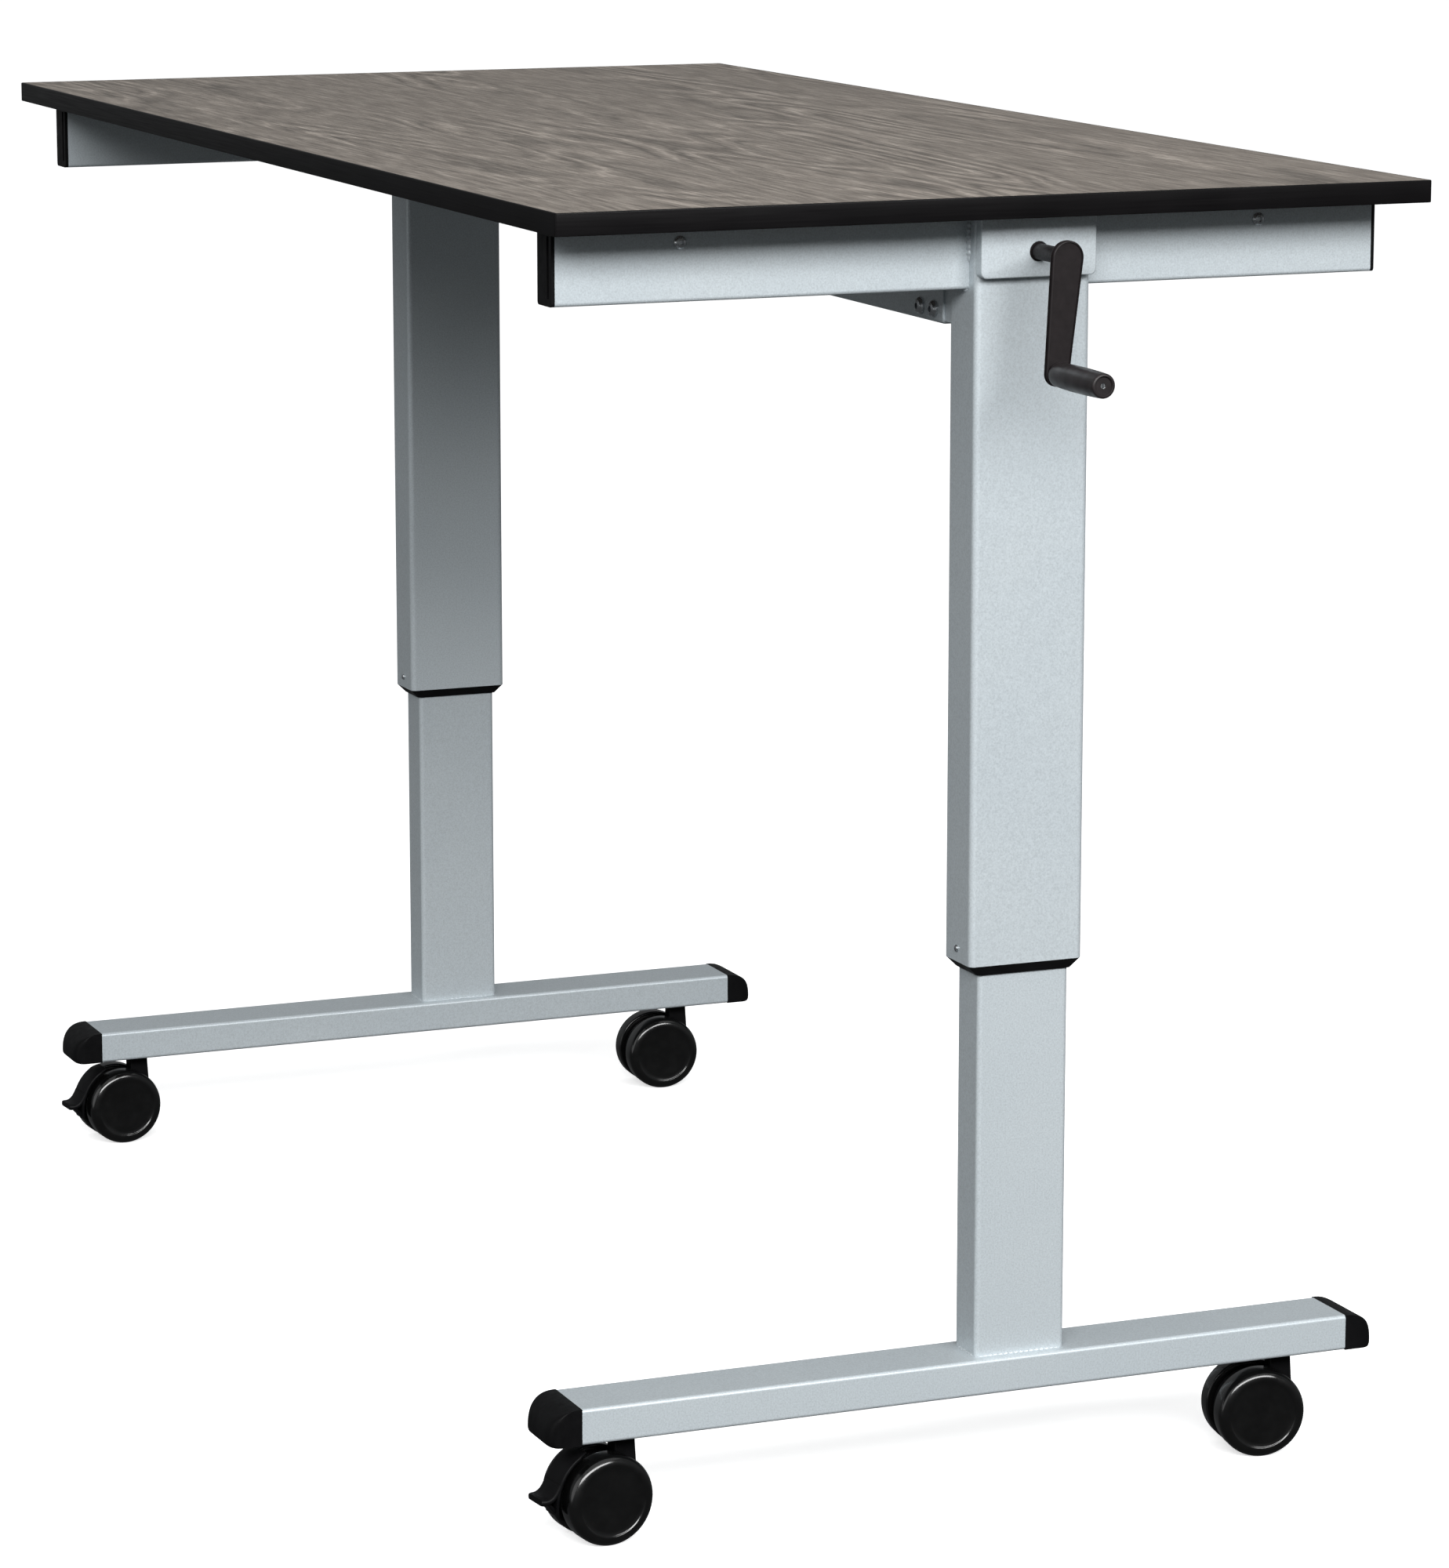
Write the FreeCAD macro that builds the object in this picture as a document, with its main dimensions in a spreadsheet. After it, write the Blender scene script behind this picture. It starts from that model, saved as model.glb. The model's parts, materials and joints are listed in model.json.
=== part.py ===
import FreeCAD, Part
import math
import os
import re
import Sketcher
from FreeCAD import Rotation, Vector

# Hand-cranked height adjustable desk on casters, in millimetres. +Z is up, +X points to the crank
# end, the user sits on the -Y side. The origin is on the floor under the middle of the overall box.

SIZES = {
    # desktop
    "desk_length": 1500, "desk_depth": 750, "board_thick": 18, "band_thick": 2, "band_corner": 3,
    # heights of the desktop's upper face: lowest, how far it stands raised, and its whole travel
    "low_height": 750, "raised": 318, "height_travel": 406,
    # telescopic columns
    "leg_inset": 72, "column_shift": 45,
    "column_width": 50, "column_depth": 100, "column_wall": 2, "column_corner": 5,
    "inner_wall": 2, "inner_corner": 4, "low_gap": 2, "slide_gap": 0.1,
    # guide collar and slide block
    "collar_side": 3, "collar_end": 8, "collar_drop": 8, "collar_plug": 40, "collar_lip": 2,
    "collar_screw_rise": 11,
    "block_height": 30, "block_plug": 20, "plug_gap": 0.1,
    # arms under the desktop
    "arm_width": 30, "arm_height": 60, "arm_wall": 2, "arm_corner": 3, "arm_overhang": 19,
    "arm_shift": 3, "arm_cap": 3, "arm_plug": 14,
    "cap_groove_width": 5, "cap_groove_depth": 1, "cap_groove_shift": 8, "cap_groove_end": 12,
    "side_screw_place": 250, "side_screw_drop": 14, "desk_screw_inset": 55, "access_radius": 7,
    "pilot_spare": 1,
    # crossbeam and its tabs
    "beam_drop": 93, "beam_height": 80, "beam_flange": 22, "beam_wall": 2, "beam_gap": 12,
    "beam_bolt_edge": 16, "beam_bolt_pitch": 26, "beam_bolt_rise": 11,
    "tab_length": 66, "tab_thick": 4, "tab_gap": 0.5,
    # gearboxes and their cover plates
    "box_height": 60, "box_wall": 4, "box_gap": 0.25, "gear_drop": 30, "top_clear": 14,
    "cover_height": 50, "cover_thick": 10, "cover_wall": 2, "cover_corner": 5, "cover_hole": 8,
    "shaft_hole": 8,
    # mitre gears, cross rod and lead screws
    "gear_radius": 12, "gear_face": 6, "gear_clear": 0.2, "hub_radius": 7,
    "rod_across": 8, "rod_gap": 0.1, "bearing_gap": 0.05,
    "journal_radius": 5, "screw_radius": 8, "shoulder_radius": 10, "shoulder_height": 5,
    "screw_clear": 0.3, "screw_tail": 10, "journal_gap": 1, "nut_radius": 13, "nut_length": 48,
    # crank
    "sleeve_radius": 6.5, "socket_depth": 16, "socket_spare": 1, "sleeve_start": 10,
    "crank_stand": 57, "crank_thick": 6, "crank_length": 91, "crank_rest": 5,
    "crank_top": 13.3, "crank_tip": 10,
    "grip_length": 80, "grip_waist": 9.6, "grip_shoulder": 10.3, "grip_radius": 10.5, "grip_end": 10,
    "grip_shoulder_place": 20, "grip_crest_place": 44, "grip_round": 1.5, "grip_gap": 1,
    "grip_recess": 5, "grip_recess_radius": 7.5,
    "pin_radius": 4, "pin_head": 6, "pin_head_height": 2.4, "pin_head_edge": 1,
    "pin_slot_width": 1.2, "pin_slot_length": 7, "pin_slot_depth": 1,
    # feet and their caps
    "foot_length": 684, "foot_width": 60, "foot_height": 30, "foot_wall": 2, "foot_corner": 3,
    "foot_cap_flat": 6, "foot_cap_straight": 1, "foot_cap_base": 5, "foot_cap_corner": 14,
    "foot_cap_plug": 15,
    # casters
    "stem_place": 296, "stem_radius": 5, "stem_top": 20, "stem_depth": 30, "stem_nut_height": 8,
    "stem_spare": 1, "collar_radius": 8, "washer_height": 3, "trail": 23,
    "near_front_swivel": 6, "near_back_swivel": -9, "far_front_swivel": 4, "far_back_swivel": -3,
    "wheel_radius": 37.5, "wheel_width": 20, "wheel_space": 18, "wheel_round": 7, "wheel_inner_round": 1.5,
    "wheel_rim": 8.5, "wheel_ring_width": 2, "wheel_ring_depth": 1, "wheel_bore_depth": 15,
    "axle_radius": 4, "axle_gap": 0.5, "hood_step": 4.5, "hood_gap": 1.5,
    "neck_front": 11, "neck_back": 7.5, "neck_width": 14, "neck_rise": 9, "neck_corner": 1.5,
    # brake pedals of the front casters
    "pedal_width": 28, "pedal_gap": 2.5, "pedal_thick": 3, "pedal_start": 112, "pedal_end": 180,
    "cheek_gap": 0.4, "cheek_thick": 1.6, "cheek_hub": 9, "cheek_inside": 7,
    "cheek_start": 118, "cheek_end": 165,
    "lip_reach": 13, "lip_bend": 6, "lip_root": 11, "lip_hollow": 2, "lip_tip": 3.5, "lip_thick": 3.5,
    # fasteners
    "bolt_radius": 4, "bolt_head": 7, "bolt_head_height": 4.4, "bolt_length": 18, "bolt_socket": 5,
    "bolt_nut_height": 6.5, "bolt_nut_across": 13,
    "side_screw_radius": 3, "side_screw_head": 5.3, "side_screw_head_height": 3.3,
    "side_screw_length": 12, "side_screw_socket": 4,
    "desk_screw_radius": 2.5, "desk_screw_head": 5, "desk_screw_head_height": 3, "desk_screw_length": 16,
    "collar_screw_radius": 1.5, "collar_screw_head": 3, "collar_screw_head_height": 2,
    "collar_screw_length": 9, "fit_gap": 0.1,
}

# A round screw head's outline as shares of its radius and height, and how deep its socket goes.
HEAD_OUTLINE = ((1, 0), (1, 0.35), (0.72, 0.85), (0.4, 1), (0, 1))
SOCKET_SHARE = 0.6
# Millimetres, or cubic millimetres, that count as nothing.
TINY = 0.01

# Places worked out from the sizes.
UNDERSIDE = "(low_height + raised - board_thick)"
GEAR_AXIS = f"({UNDERSIDE} - gear_drop)"
BOX_BOTTOM = f"({UNDERSIDE} - box_height)"
FOOT_BOTTOM = "(wheel_radius * 2 + neck_rise + washer_height)"
FOOT_TOP = f"({FOOT_BOTTOM} + foot_height)"
COLUMN_BOTTOM = f"({FOOT_TOP} + low_gap + collar_drop + raised)"
INNER_TOP = "(low_height - board_thick - box_height - top_clear)"
COLUMN_FRONT = "(column_shift - column_depth / 2)"
COLUMN_BACK = "(column_shift + column_depth / 2)"
INNER_WIDTH = "(column_width - 2 * column_wall - 2 * collar_side)"
INNER_DEPTH = "(column_depth - 2 * column_wall - 2 * collar_end)"
FOOT_CAP_TOP = "(foot_height - foot_cap_base - foot_cap_straight)"
FOOT_CAP = f"({FOOT_CAP_TOP} + foot_cap_flat)"
HOOD_WIDTH = "(wheel_space - 2 * cheek_gap - 2 * cheek_thick - 2 * hood_gap)"
HOOD_RADIUS = "(wheel_radius - hood_step)"
LEG = "(desk_length / 2 - leg_inset)"
COLUMN_FACE = f"({LEG} + column_width / 2)"
CRANK_FACE = f"({COLUMN_FACE} + crank_stand)"
GRIP_START = f"({CRANK_FACE} + crank_thick + grip_gap)"
MIDDLE = f"((desk_length / 2 - {GRIP_START} - grip_length) / 2)"
SIDES = {"near": 1, "far": -1}
ENDS = {"front": -1, "back": 1}

doc = FreeCAD.newDocument("StandingDesk")
sheet = doc.addObject("Spreadsheet::Sheet", "Sizes")
nodes = []


def fill_sheet():
    """Write each driving size into the sheet: its name beside it, its value in column B."""
    for row, (name, size) in enumerate(SIZES.items(), start=1):
        sheet.set(f"A{row}", name.replace("_", " "))
        sheet.set(f"B{row}", str(size))
        sheet.setAlias(f"B{row}", name)
    doc.recompute()


def bound(text):
    """Point every size named in an expression at its cell."""
    return re.sub(r"[a-z]\w+", lambda word: f"Sizes.{word[0]}" if word[0] in SIZES else word[0], str(text))


def value(text):
    """The number that an expression comes to."""
    return float(sheet.evalExpression(bound(text)))


def bind(made, name, text):
    made.setExpression(name, bound(text))


def put(made, x="0", y="0", z="0", turn=None):
    """Place an object by expressions. turn is an axis and an angle in degrees."""
    if turn:
        made.Placement = FreeCAD.Placement(Vector(), Rotation(turn[0], value(turn[1])))
        bind(made, "Placement.Rotation.Angle", f"abs({turn[1]})")
    for axis, place in zip("xyz", (x, y, z)):
        bind(made, f"Placement.Base.{axis}", place)
    return made


def node(made, label):
    """Name a finished sub-part."""
    made.Label = label
    nodes.append(made)
    return made


def body(label, x="0", y="0", z="0", turn=None):
    return put(doc.addObject("PartDesign::Body", label), x, y, z, turn)


def sketch(made, plane, x="0", y="0", z="0"):
    """A sketch on one of the body's own origin planes, shifted within and off that plane."""
    drawn = made.newObject("Sketcher::SketchObject", f"{made.Name}_sketch")
    support = next(item for item in made.Origin.OriginFeatures if item.Role == f"{plane}_Plane")
    drawn.AttachmentSupport = [(support, "")]
    drawn.MapMode = "FlatFace"
    for axis, place in zip("xyz", (x, y, z)):
        bind(drawn, f"AttachmentOffset.Base.{axis}", place)
    return drawn


def constrain(drawn, kind, *places, size=None):
    """Add a constraint, bound to an expression when it has a size."""
    if size is None:
        drawn.addConstraint(Sketcher.Constraint(kind, *places))
        return
    number = drawn.addConstraint(Sketcher.Constraint(kind, *places, value(size)))
    bind(drawn, f"Constraints[{number}]", size)


def line(drawn, start, end):
    return drawn.addGeometry(Part.LineSegment(Vector(*start, 0), Vector(*end, 0)), False)


def arc(drawn, centre, radius, start, end):
    """A counter-clockwise arc between two angles in degrees."""
    circle = Part.Circle(Vector(*centre, 0), Vector(0, 0, 1), radius)
    return drawn.addGeometry(Part.ArcOfCircle(circle, math.radians(start), math.radians(end)), False)


def rectangle(drawn, width, height, radius=None):
    """A rectangle centred on the sketch's origin, with rounded corners when radius is given."""
    half_w, half_h = value(width) / 2, value(height) / 2
    r = value(radius) if radius else 0
    line(drawn, (-half_w + r, -half_h), (half_w - r, -half_h))
    line(drawn, (half_w, -half_h + r), (half_w, half_h - r))
    line(drawn, (half_w - r, half_h), (-half_w + r, half_h))
    line(drawn, (-half_w, half_h - r), (-half_w, -half_h + r))
    if radius:
        corners = ((half_w - r, r - half_h), (half_w - r, half_h - r), (r - half_w, half_h - r),
                   (r - half_w, r - half_h))
        for side, corner in enumerate(corners):
            arc(drawn, corner, r, 90 * side - 90, 90 * side)
        for side in range(4):
            constrain(drawn, "Tangent", side, 2, side + 4, 1)
            constrain(drawn, "Tangent", side + 4, 2, (side + 1) % 4, 1)
        for side in (5, 6, 7):
            constrain(drawn, "Equal", 4, side)
        constrain(drawn, "Radius", 4, size=radius)
    else:
        for side in range(4):
            constrain(drawn, "Coincident", side, 2, (side + 1) % 4, 1)
    for side in range(4):
        constrain(drawn, "Vertical" if side % 2 else "Horizontal", side)
    constrain(drawn, "DistanceX", 3, 1, 1, 1, size=width)
    constrain(drawn, "DistanceY", 0, 1, 2, 1, size=height)
    constrain(drawn, "Symmetric", 0, 1, 2, 1, -1, 1)
    return drawn


def circle(drawn, radius, x="0", y="0"):
    """A circle at a place measured from the sketch's origin."""
    shape = Part.Circle(Vector(value(x), value(y), 0), Vector(0, 0, 1), value(radius))
    number = drawn.addGeometry(shape, False)
    constrain(drawn, "Radius", number, size=radius)
    constrain(drawn, "DistanceX", -1, 1, number, 3, size=x)
    constrain(drawn, "DistanceY", -1, 1, number, 3, size=y)
    return drawn


def polygon(drawn, points):
    """Straight sides between points, each placed by two expressions."""
    spots = [(value(x), value(y)) for x, y in points]
    count = len(spots)
    for side in range(count):
        line(drawn, spots[side], spots[(side + 1) % count])
    for side in range(count):
        constrain(drawn, "Coincident", side, 2, (side + 1) % count, 1)
    for side, (x, y) in enumerate(points):
        constrain(drawn, "DistanceX", -1, 1, side, 1, size=x)
        constrain(drawn, "DistanceY", -1, 1, side, 1, size=y)
    return drawn


def hexagon(drawn, across):
    """A regular hexagon about the sketch's origin, given across its flats."""
    corner = f"({across}) / sqrt(3)"
    polygon(drawn, [(f"{corner} * cos({60 * step})", f"{corner} * sin({60 * step})") for step in range(6)])
    return drawn


def pad(made, drawn, length, centred=False, back=False):
    """Add the profile's prism, along the plane's normal, against it, or both ways."""
    feature = made.newObject("PartDesign::Pad", f"{made.Name}_pad")
    feature.Profile = drawn
    feature.SideType = "Symmetric" if centred else "One side"
    feature.Reversed = back
    bind(feature, "Length", length)
    doc.recompute()
    return made


def pocket(made, drawn, depth=None, centred=False, back=False):
    """Cut the profile's prism: right through, or to a depth against the plane's normal."""
    before = made.Shape.Volume
    feature = made.newObject("PartDesign::Pocket", f"{made.Name}_pocket")
    feature.Profile = drawn
    feature.Reversed = back
    if depth is None:
        feature.Type = "ThroughAll"
        feature.SideType = "Symmetric"
    else:
        feature.SideType = "Symmetric" if centred else "One side"
        bind(feature, "Length", depth)
    doc.recompute()
    if made.Shape.Volume > before - TINY:
        raise RuntimeError(f"{made.Label}: a pocket cut nothing")
    return made


def revolve(made, drawn, axis):
    """Turn the profile about the sketch's H_Axis or V_Axis."""
    feature = made.newObject("PartDesign::Revolution", f"{made.Name}_turn")
    feature.Profile = drawn
    feature.ReferenceAxis = (drawn, [axis])
    feature.Angle = 360
    doc.recompute()
    return made


def fillet(made, radius, wanted):
    """Round the edges that wanted picks."""
    solid = made.Tip
    names = [f"Edge{number}" for number, edge in enumerate(solid.Shape.Edges, 1) if wanted(edge)]
    if not names:
        raise RuntimeError(f"{made.Label}: no edge to round")
    feature = made.newObject("PartDesign::Fillet", f"{made.Name}_fillet")
    feature.Base = (solid, names)
    bind(feature, "Radius", radius)
    doc.recompute()
    return made


def circle_edges(axis, place, radius):
    """Pick the full circles about an axis at one place along it and of one radius."""
    def wanted(edge):
        curve = edge.Curve
        if not isinstance(curve, Part.Circle):
            return False
        return abs(curve.Center[axis] - value(place)) < TINY and abs(curve.Radius - value(radius)) < TINY
    return wanted


def lower_edges_along_x(edge):
    """Pick the straight edges along X in the lower half of a body."""
    box = edge.BoundBox
    return max(box.YLength, box.ZLength) < TINY and box.ZMax < 0


def tube(made, plane, width, height, corner, wall, length, back=False, centred=False):
    """A rectangular tube with rounded corners and one wall thickness."""
    pad(made, rectangle(sketch(made, plane), width, height, corner), length, centred, back)
    inside = (f"{width} - 2 * {wall}", f"{height} - 2 * {wall}", f"{corner} - {wall}")
    return pocket(made, rectangle(sketch(made, plane), *inside))


def screw(label, head, radius, length, socket=None):
    """A round-headed screw along Z: head above the origin plane, shank below it."""
    made = body(label)
    head_radius, head_height = head
    points = [("0", f"-({length})"), (radius, f"-({length})"), (radius, "0")]
    points += [(f"{head_radius} * {out}", f"{head_height} * {up}") for out, up in HEAD_OUTLINE]
    revolve(made, polygon(sketch(made, "XZ"), points), "V_Axis")
    if socket:
        pocket(made, hexagon(sketch(made, "XY", z=head_height), socket),
               f"{head_height} * {SOCKET_SHARE}")
    return made


def compound(label, parts):
    made = doc.addObject("Part::Compound", label)
    made.Links = parts
    return node(made, label)


def leg_x(side):
    """A leg's place along X."""
    return f"({MIDDLE} + {SIDES[side]} * {LEG})"


def arm_x(side):
    """The arms' place along X, a little nearer the desk's middle than their leg's."""
    return f"({MIDDLE} + {SIDES[side]} * ({LEG} - arm_shift))"


def make_desktop():
    """The board, with pilot holes for the arms' screws, and the band round its edge."""
    board = body("desk_board", MIDDLE, z=UNDERSIDE)
    size = ("desk_length - 2 * band_thick", "desk_depth - 2 * band_thick", "band_corner - band_thick")
    pad(board, rectangle(sketch(board, "XY"), *size), "board_thick")
    holes = sketch(board, "XY")
    for side in SIDES:
        for end in ENDS:
            for place in desk_screw_places(end):
                circle(holes, "desk_screw_radius + fit_gap", f"{arm_x(side)} - {MIDDLE}", place)
    pocket(board, holes, "desk_screw_length - arm_wall + pilot_spare", back=True)
    node(board, "desk_board")
    band = body("edge_band", MIDDLE, z=UNDERSIDE)
    pad(band, rectangle(sketch(band, "XY"), "desk_length", "desk_depth", "band_corner"), "board_thick")
    pocket(band, rectangle(sketch(band, "XY"), *size))
    node(band, "edge_band")


def arm_root(end):
    """Where an arm starts: the column's front or back face."""
    return COLUMN_FRONT if end == "front" else COLUMN_BACK


def arm_length(end):
    return f"(desk_depth / 2 - arm_overhang - arm_cap + {-ENDS[end]} * {arm_root(end)})"


def desk_screw_places(end):
    """The two places along Y where an arm is screwed to the board."""
    tip = f"({arm_root(end)} + {ENDS[end]} * {arm_length(end)})"
    return (f"{arm_root(end)} + {ENDS[end]} * desk_screw_inset", f"{tip} - {ENDS[end]} * desk_screw_inset")


def make_arm(side, end):
    """A tube from the column's face to near the desk's edge, with its screw holes."""
    out = SIDES[side]
    arm = body(f"{side}_{end}_arm", arm_x(side), arm_root(end), f"{UNDERSIDE} - arm_height / 2")
    length = arm_length(end)
    tube(arm, "XZ", "arm_width", "arm_height", "arm_corner", "arm_wall", length, back=end == "back")
    places = [f"{place} - {arm_root(end)}" for place in desk_screw_places(end)]
    top = sketch(arm, "XY", z="arm_height / 2")
    access = sketch(arm, "XY", z="-arm_height / 2")
    for place in places:
        circle(top, "desk_screw_radius + fit_gap", "0", place)
        circle(access, "access_radius", "0", place)
    pocket(arm, top, "2 * arm_wall")
    pocket(arm, access, "2 * arm_wall", back=True)
    wall = sketch(arm, "YZ", z=f"{out} * arm_width / 2")
    place = f"{ENDS[end]} * side_screw_place - {arm_root(end)}"
    circle(wall, "side_screw_radius + fit_gap", place, "arm_height / 2 - side_screw_drop")
    pocket(arm, wall, "2 * arm_wall", back=out < 0)
    return node(arm, f"{side}_{end}_arm")


def make_arm_cap(side, end):
    """A plastic end cap: flange, plug inside the tube and one upright groove."""
    root = f"{arm_root(end)} + {ENDS[end]} * {arm_length(end)}"
    cap = body(f"{side}_{end}_arm_cap", arm_x(side), root, f"{UNDERSIDE} - arm_height / 2")
    outward = end == "back"
    pad(cap, rectangle(sketch(cap, "XZ"), "arm_width", "arm_height", "arm_corner"), "arm_cap",
        back=outward)
    inside = [f"arm_{size} - 2 * arm_wall - 2 * plug_gap" for size in ("width", "height")]
    pad(cap, rectangle(sketch(cap, "XZ"), *inside, "arm_corner - arm_wall"), "arm_plug",
        back=not outward)
    face = sketch(cap, "XZ", x="cap_groove_shift", z=f"{-ENDS[end]} * arm_cap")
    rectangle(face, "cap_groove_width", "arm_height - cap_groove_end")
    return pocket(cap, face, "cap_groove_depth", back=outward)


def make_column(side):
    """The outer tube, with the shaft holes near its top and the collar screw's hole."""
    column = body(f"{side}_outer_column", leg_x(side), "column_shift", COLUMN_BOTTOM)
    tube(column, "XY", "column_width", "column_depth", "column_corner", "column_wall",
         f"{UNDERSIDE} - {COLUMN_BOTTOM}")
    pocket(column, circle(sketch(column, "YZ"), "shaft_hole", "0", f"{GEAR_AXIS} - {COLUMN_BOTTOM}"))
    front = sketch(column, "XZ", z="column_depth / 2")
    circle(front, "collar_screw_radius + fit_gap", "0", "collar_screw_rise")
    pocket(column, front, "2 * column_wall")
    return node(column, f"{side}_outer_column")


def make_collar(side):
    """The guide collar: a plug inside the outer tube and a tapered skirt below it."""
    collar = body(f"{side}_collar", leg_x(side), "column_shift", COLUMN_BOTTOM)
    top = rectangle(sketch(collar, "XY"), "column_width", "column_depth", "column_corner")
    low = sketch(collar, "XY", z="-collar_drop")
    rectangle(low, *(f"{size} + 2 * collar_lip" for size in (INNER_WIDTH, INNER_DEPTH)), "inner_corner")
    skirt = collar.newObject("PartDesign::AdditiveLoft", f"{collar.Name}_skirt")
    skirt.Profile = top
    skirt.Sections = [low]
    skirt.Ruled = True
    doc.recompute()
    plug = [f"column_{size} - 2 * column_wall - 2 * plug_gap" for size in ("width", "depth")]
    pad(collar, rectangle(sketch(collar, "XY"), *plug, "column_corner - column_wall"), "collar_plug")
    hole = [f"{size} + 2 * slide_gap" for size in (INNER_WIDTH, INNER_DEPTH)]
    pocket(collar, rectangle(sketch(collar, "XY"), *hole, "inner_corner + slide_gap"))
    front = sketch(collar, "XZ", z="column_depth / 2")
    circle(front, "collar_screw_radius + fit_gap", "0", "collar_screw_rise")
    pocket(collar, front, "column_wall + collar_end + inner_wall")
    return node(collar, f"{side}_collar")


def make_beam():
    """The channel between the columns, open to the back, with its bolt holes."""
    beam = body("crossbeam", MIDDLE, COLUMN_FRONT, f"{UNDERSIDE} - beam_drop")
    section = [("0", "0"), ("beam_flange", "0"), ("beam_flange", "beam_wall"),
               ("beam_wall", "beam_wall"), ("beam_wall", "beam_height - beam_wall"),
               ("beam_flange", "beam_height - beam_wall"), ("beam_flange", "beam_height"),
               ("0", "beam_height")]
    pad(beam, polygon(sketch(beam, "YZ"), section), f"2 * {beam_end()}", centred=True)
    holes = sketch(beam, "XZ")
    for side in SIDES:
        for x, z in bolt_places(side):
            circle(holes, "bolt_radius + fit_gap", x, z)
    pocket(beam, holes, "2 * beam_wall")
    return node(beam, "crossbeam")


def beam_end():
    """Half the beam's length."""
    return f"({COLUMN_FACE} - column_width - beam_gap)"


def bolt_places(side):
    """The four bolts at one end of the beam, from the beam's middle and lower edge."""
    return [(f"{SIDES[side]} * ({beam_end()} - beam_bolt_edge - {step} * beam_bolt_pitch)", z)
            for step in (0, 1) for z in ("beam_bolt_rise", "(beam_height - beam_bolt_rise)")]


def make_tab(side):
    """The plate on a column's inner face that the beam is bolted to."""
    out = SIDES[side]
    start = f"{MIDDLE} + {out} * ({COLUMN_FACE} - column_width)"
    low = f"{UNDERSIDE} - beam_drop + beam_height / 2"
    tab = body(f"{side}_beam_tab", start, f"{COLUMN_FRONT} + beam_wall", low)
    plate = sketch(tab, "XZ", x=f"{-out} * tab_length / 2")
    rectangle(plate, "tab_length", "beam_height - 2 * beam_wall - 2 * tab_gap")
    pad(tab, plate, "tab_thick", back=True)
    holes = sketch(tab, "XZ")
    for x, z in bolt_places(side):
        circle(holes, "bolt_radius + fit_gap", f"{x} - {out} * ({COLUMN_FACE} - column_width)",
               f"{z} - beam_height / 2")
    return pocket(tab, holes)


def make_beam_bolts():
    """Button-head bolts through the beam and the tabs, each with its nut."""
    parts = []
    for side in SIDES:
        for number, (x, z) in enumerate(bolt_places(side)):
            name = f"{side}_beam_bolt_{number}"
            bolt = screw(name, ("bolt_head", "bolt_head_height"), "bolt_radius", "bolt_length",
                         "bolt_socket")
            height = f"{UNDERSIDE} - beam_drop + {z}"
            put(bolt, f"{MIDDLE} + {x}", COLUMN_FRONT, height, (Vector(1, 0, 0), "90"))
            nut = body(f"{name}_nut", f"{MIDDLE} + {x}", f"{COLUMN_FRONT} + beam_wall + tab_thick", height)
            pad(nut, hexagon(sketch(nut, "XZ"), "bolt_nut_across"), "bolt_nut_height", back=True)
            pocket(nut, circle(sketch(nut, "XZ"), "bolt_radius + fit_gap / 2"))
            parts += [bolt, nut]
    return compound("beam_bolts", parts)


def make_frame_screws():
    """The screws in the arms' outer faces, under the desktop and in the collars."""
    side_screws, desk_screws, collar_screws = [], [], []
    for side, out in SIDES.items():
        for end in ENDS:
            made = screw(f"{side}_{end}_side_screw", ("side_screw_head", "side_screw_head_height"),
                         "side_screw_radius", "side_screw_length", "side_screw_socket")
            put(made, f"{arm_x(side)} + {out} * arm_width / 2", f"{ENDS[end]} * side_screw_place",
                f"{UNDERSIDE} - side_screw_drop", (Vector(0, out, 0), "90"))
            side_screws.append(made)
            for number, place in enumerate(desk_screw_places(end)):
                made = screw(f"{side}_{end}_desk_screw_{number}",
                             ("desk_screw_head", "desk_screw_head_height"), "desk_screw_radius",
                             "desk_screw_length")
                put(made, arm_x(side), place, f"{UNDERSIDE} - arm_wall", (Vector(1, 0, 0), "180"))
                desk_screws.append(made)
        made = screw(f"{side}_collar_screw", ("collar_screw_head", "collar_screw_head_height"),
                     "collar_screw_radius", "collar_screw_length")
        put(made, leg_x(side), COLUMN_FRONT, f"{COLUMN_BOTTOM} + collar_screw_rise",
            (Vector(1, 0, 0), "90"))
        collar_screws.append(made)
    compound("frame_screws", side_screws + desk_screws + collar_screws)


def make_gearbox(side):
    """The housing in the top of a column, closed above by the board."""
    box = body(f"{side}_gearbox", leg_x(side), "column_shift", BOX_BOTTOM)
    outside = [f"column_{size} - 2 * column_wall - 2 * box_gap" for size in ("width", "depth")]
    pad(box, rectangle(sketch(box, "XY"), *outside, "column_corner - column_wall"), "box_height")
    cavity = sketch(box, "XY", z="box_height")
    rectangle(cavity, *(f"{size} - 2 * box_wall" for size in outside))
    pocket(box, cavity, "box_height - box_wall")
    pocket(box, circle(sketch(box, "XY"), "hub_radius + bearing_gap"))
    axis_height = "box_height - gear_drop"
    half = f"({outside[0]}) / 2"
    inner = circle(sketch(box, "YZ", z=f"-({half})"), "hub_radius + bearing_gap", "0", axis_height)
    pocket(box, inner, "2 * box_wall", back=True)
    outer = circle(sketch(box, "YZ", z=half), "sleeve_radius + bearing_gap", "0", axis_height)
    pocket(box, outer, "2 * box_wall")
    return node(box, f"{side}_gearbox")


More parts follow.
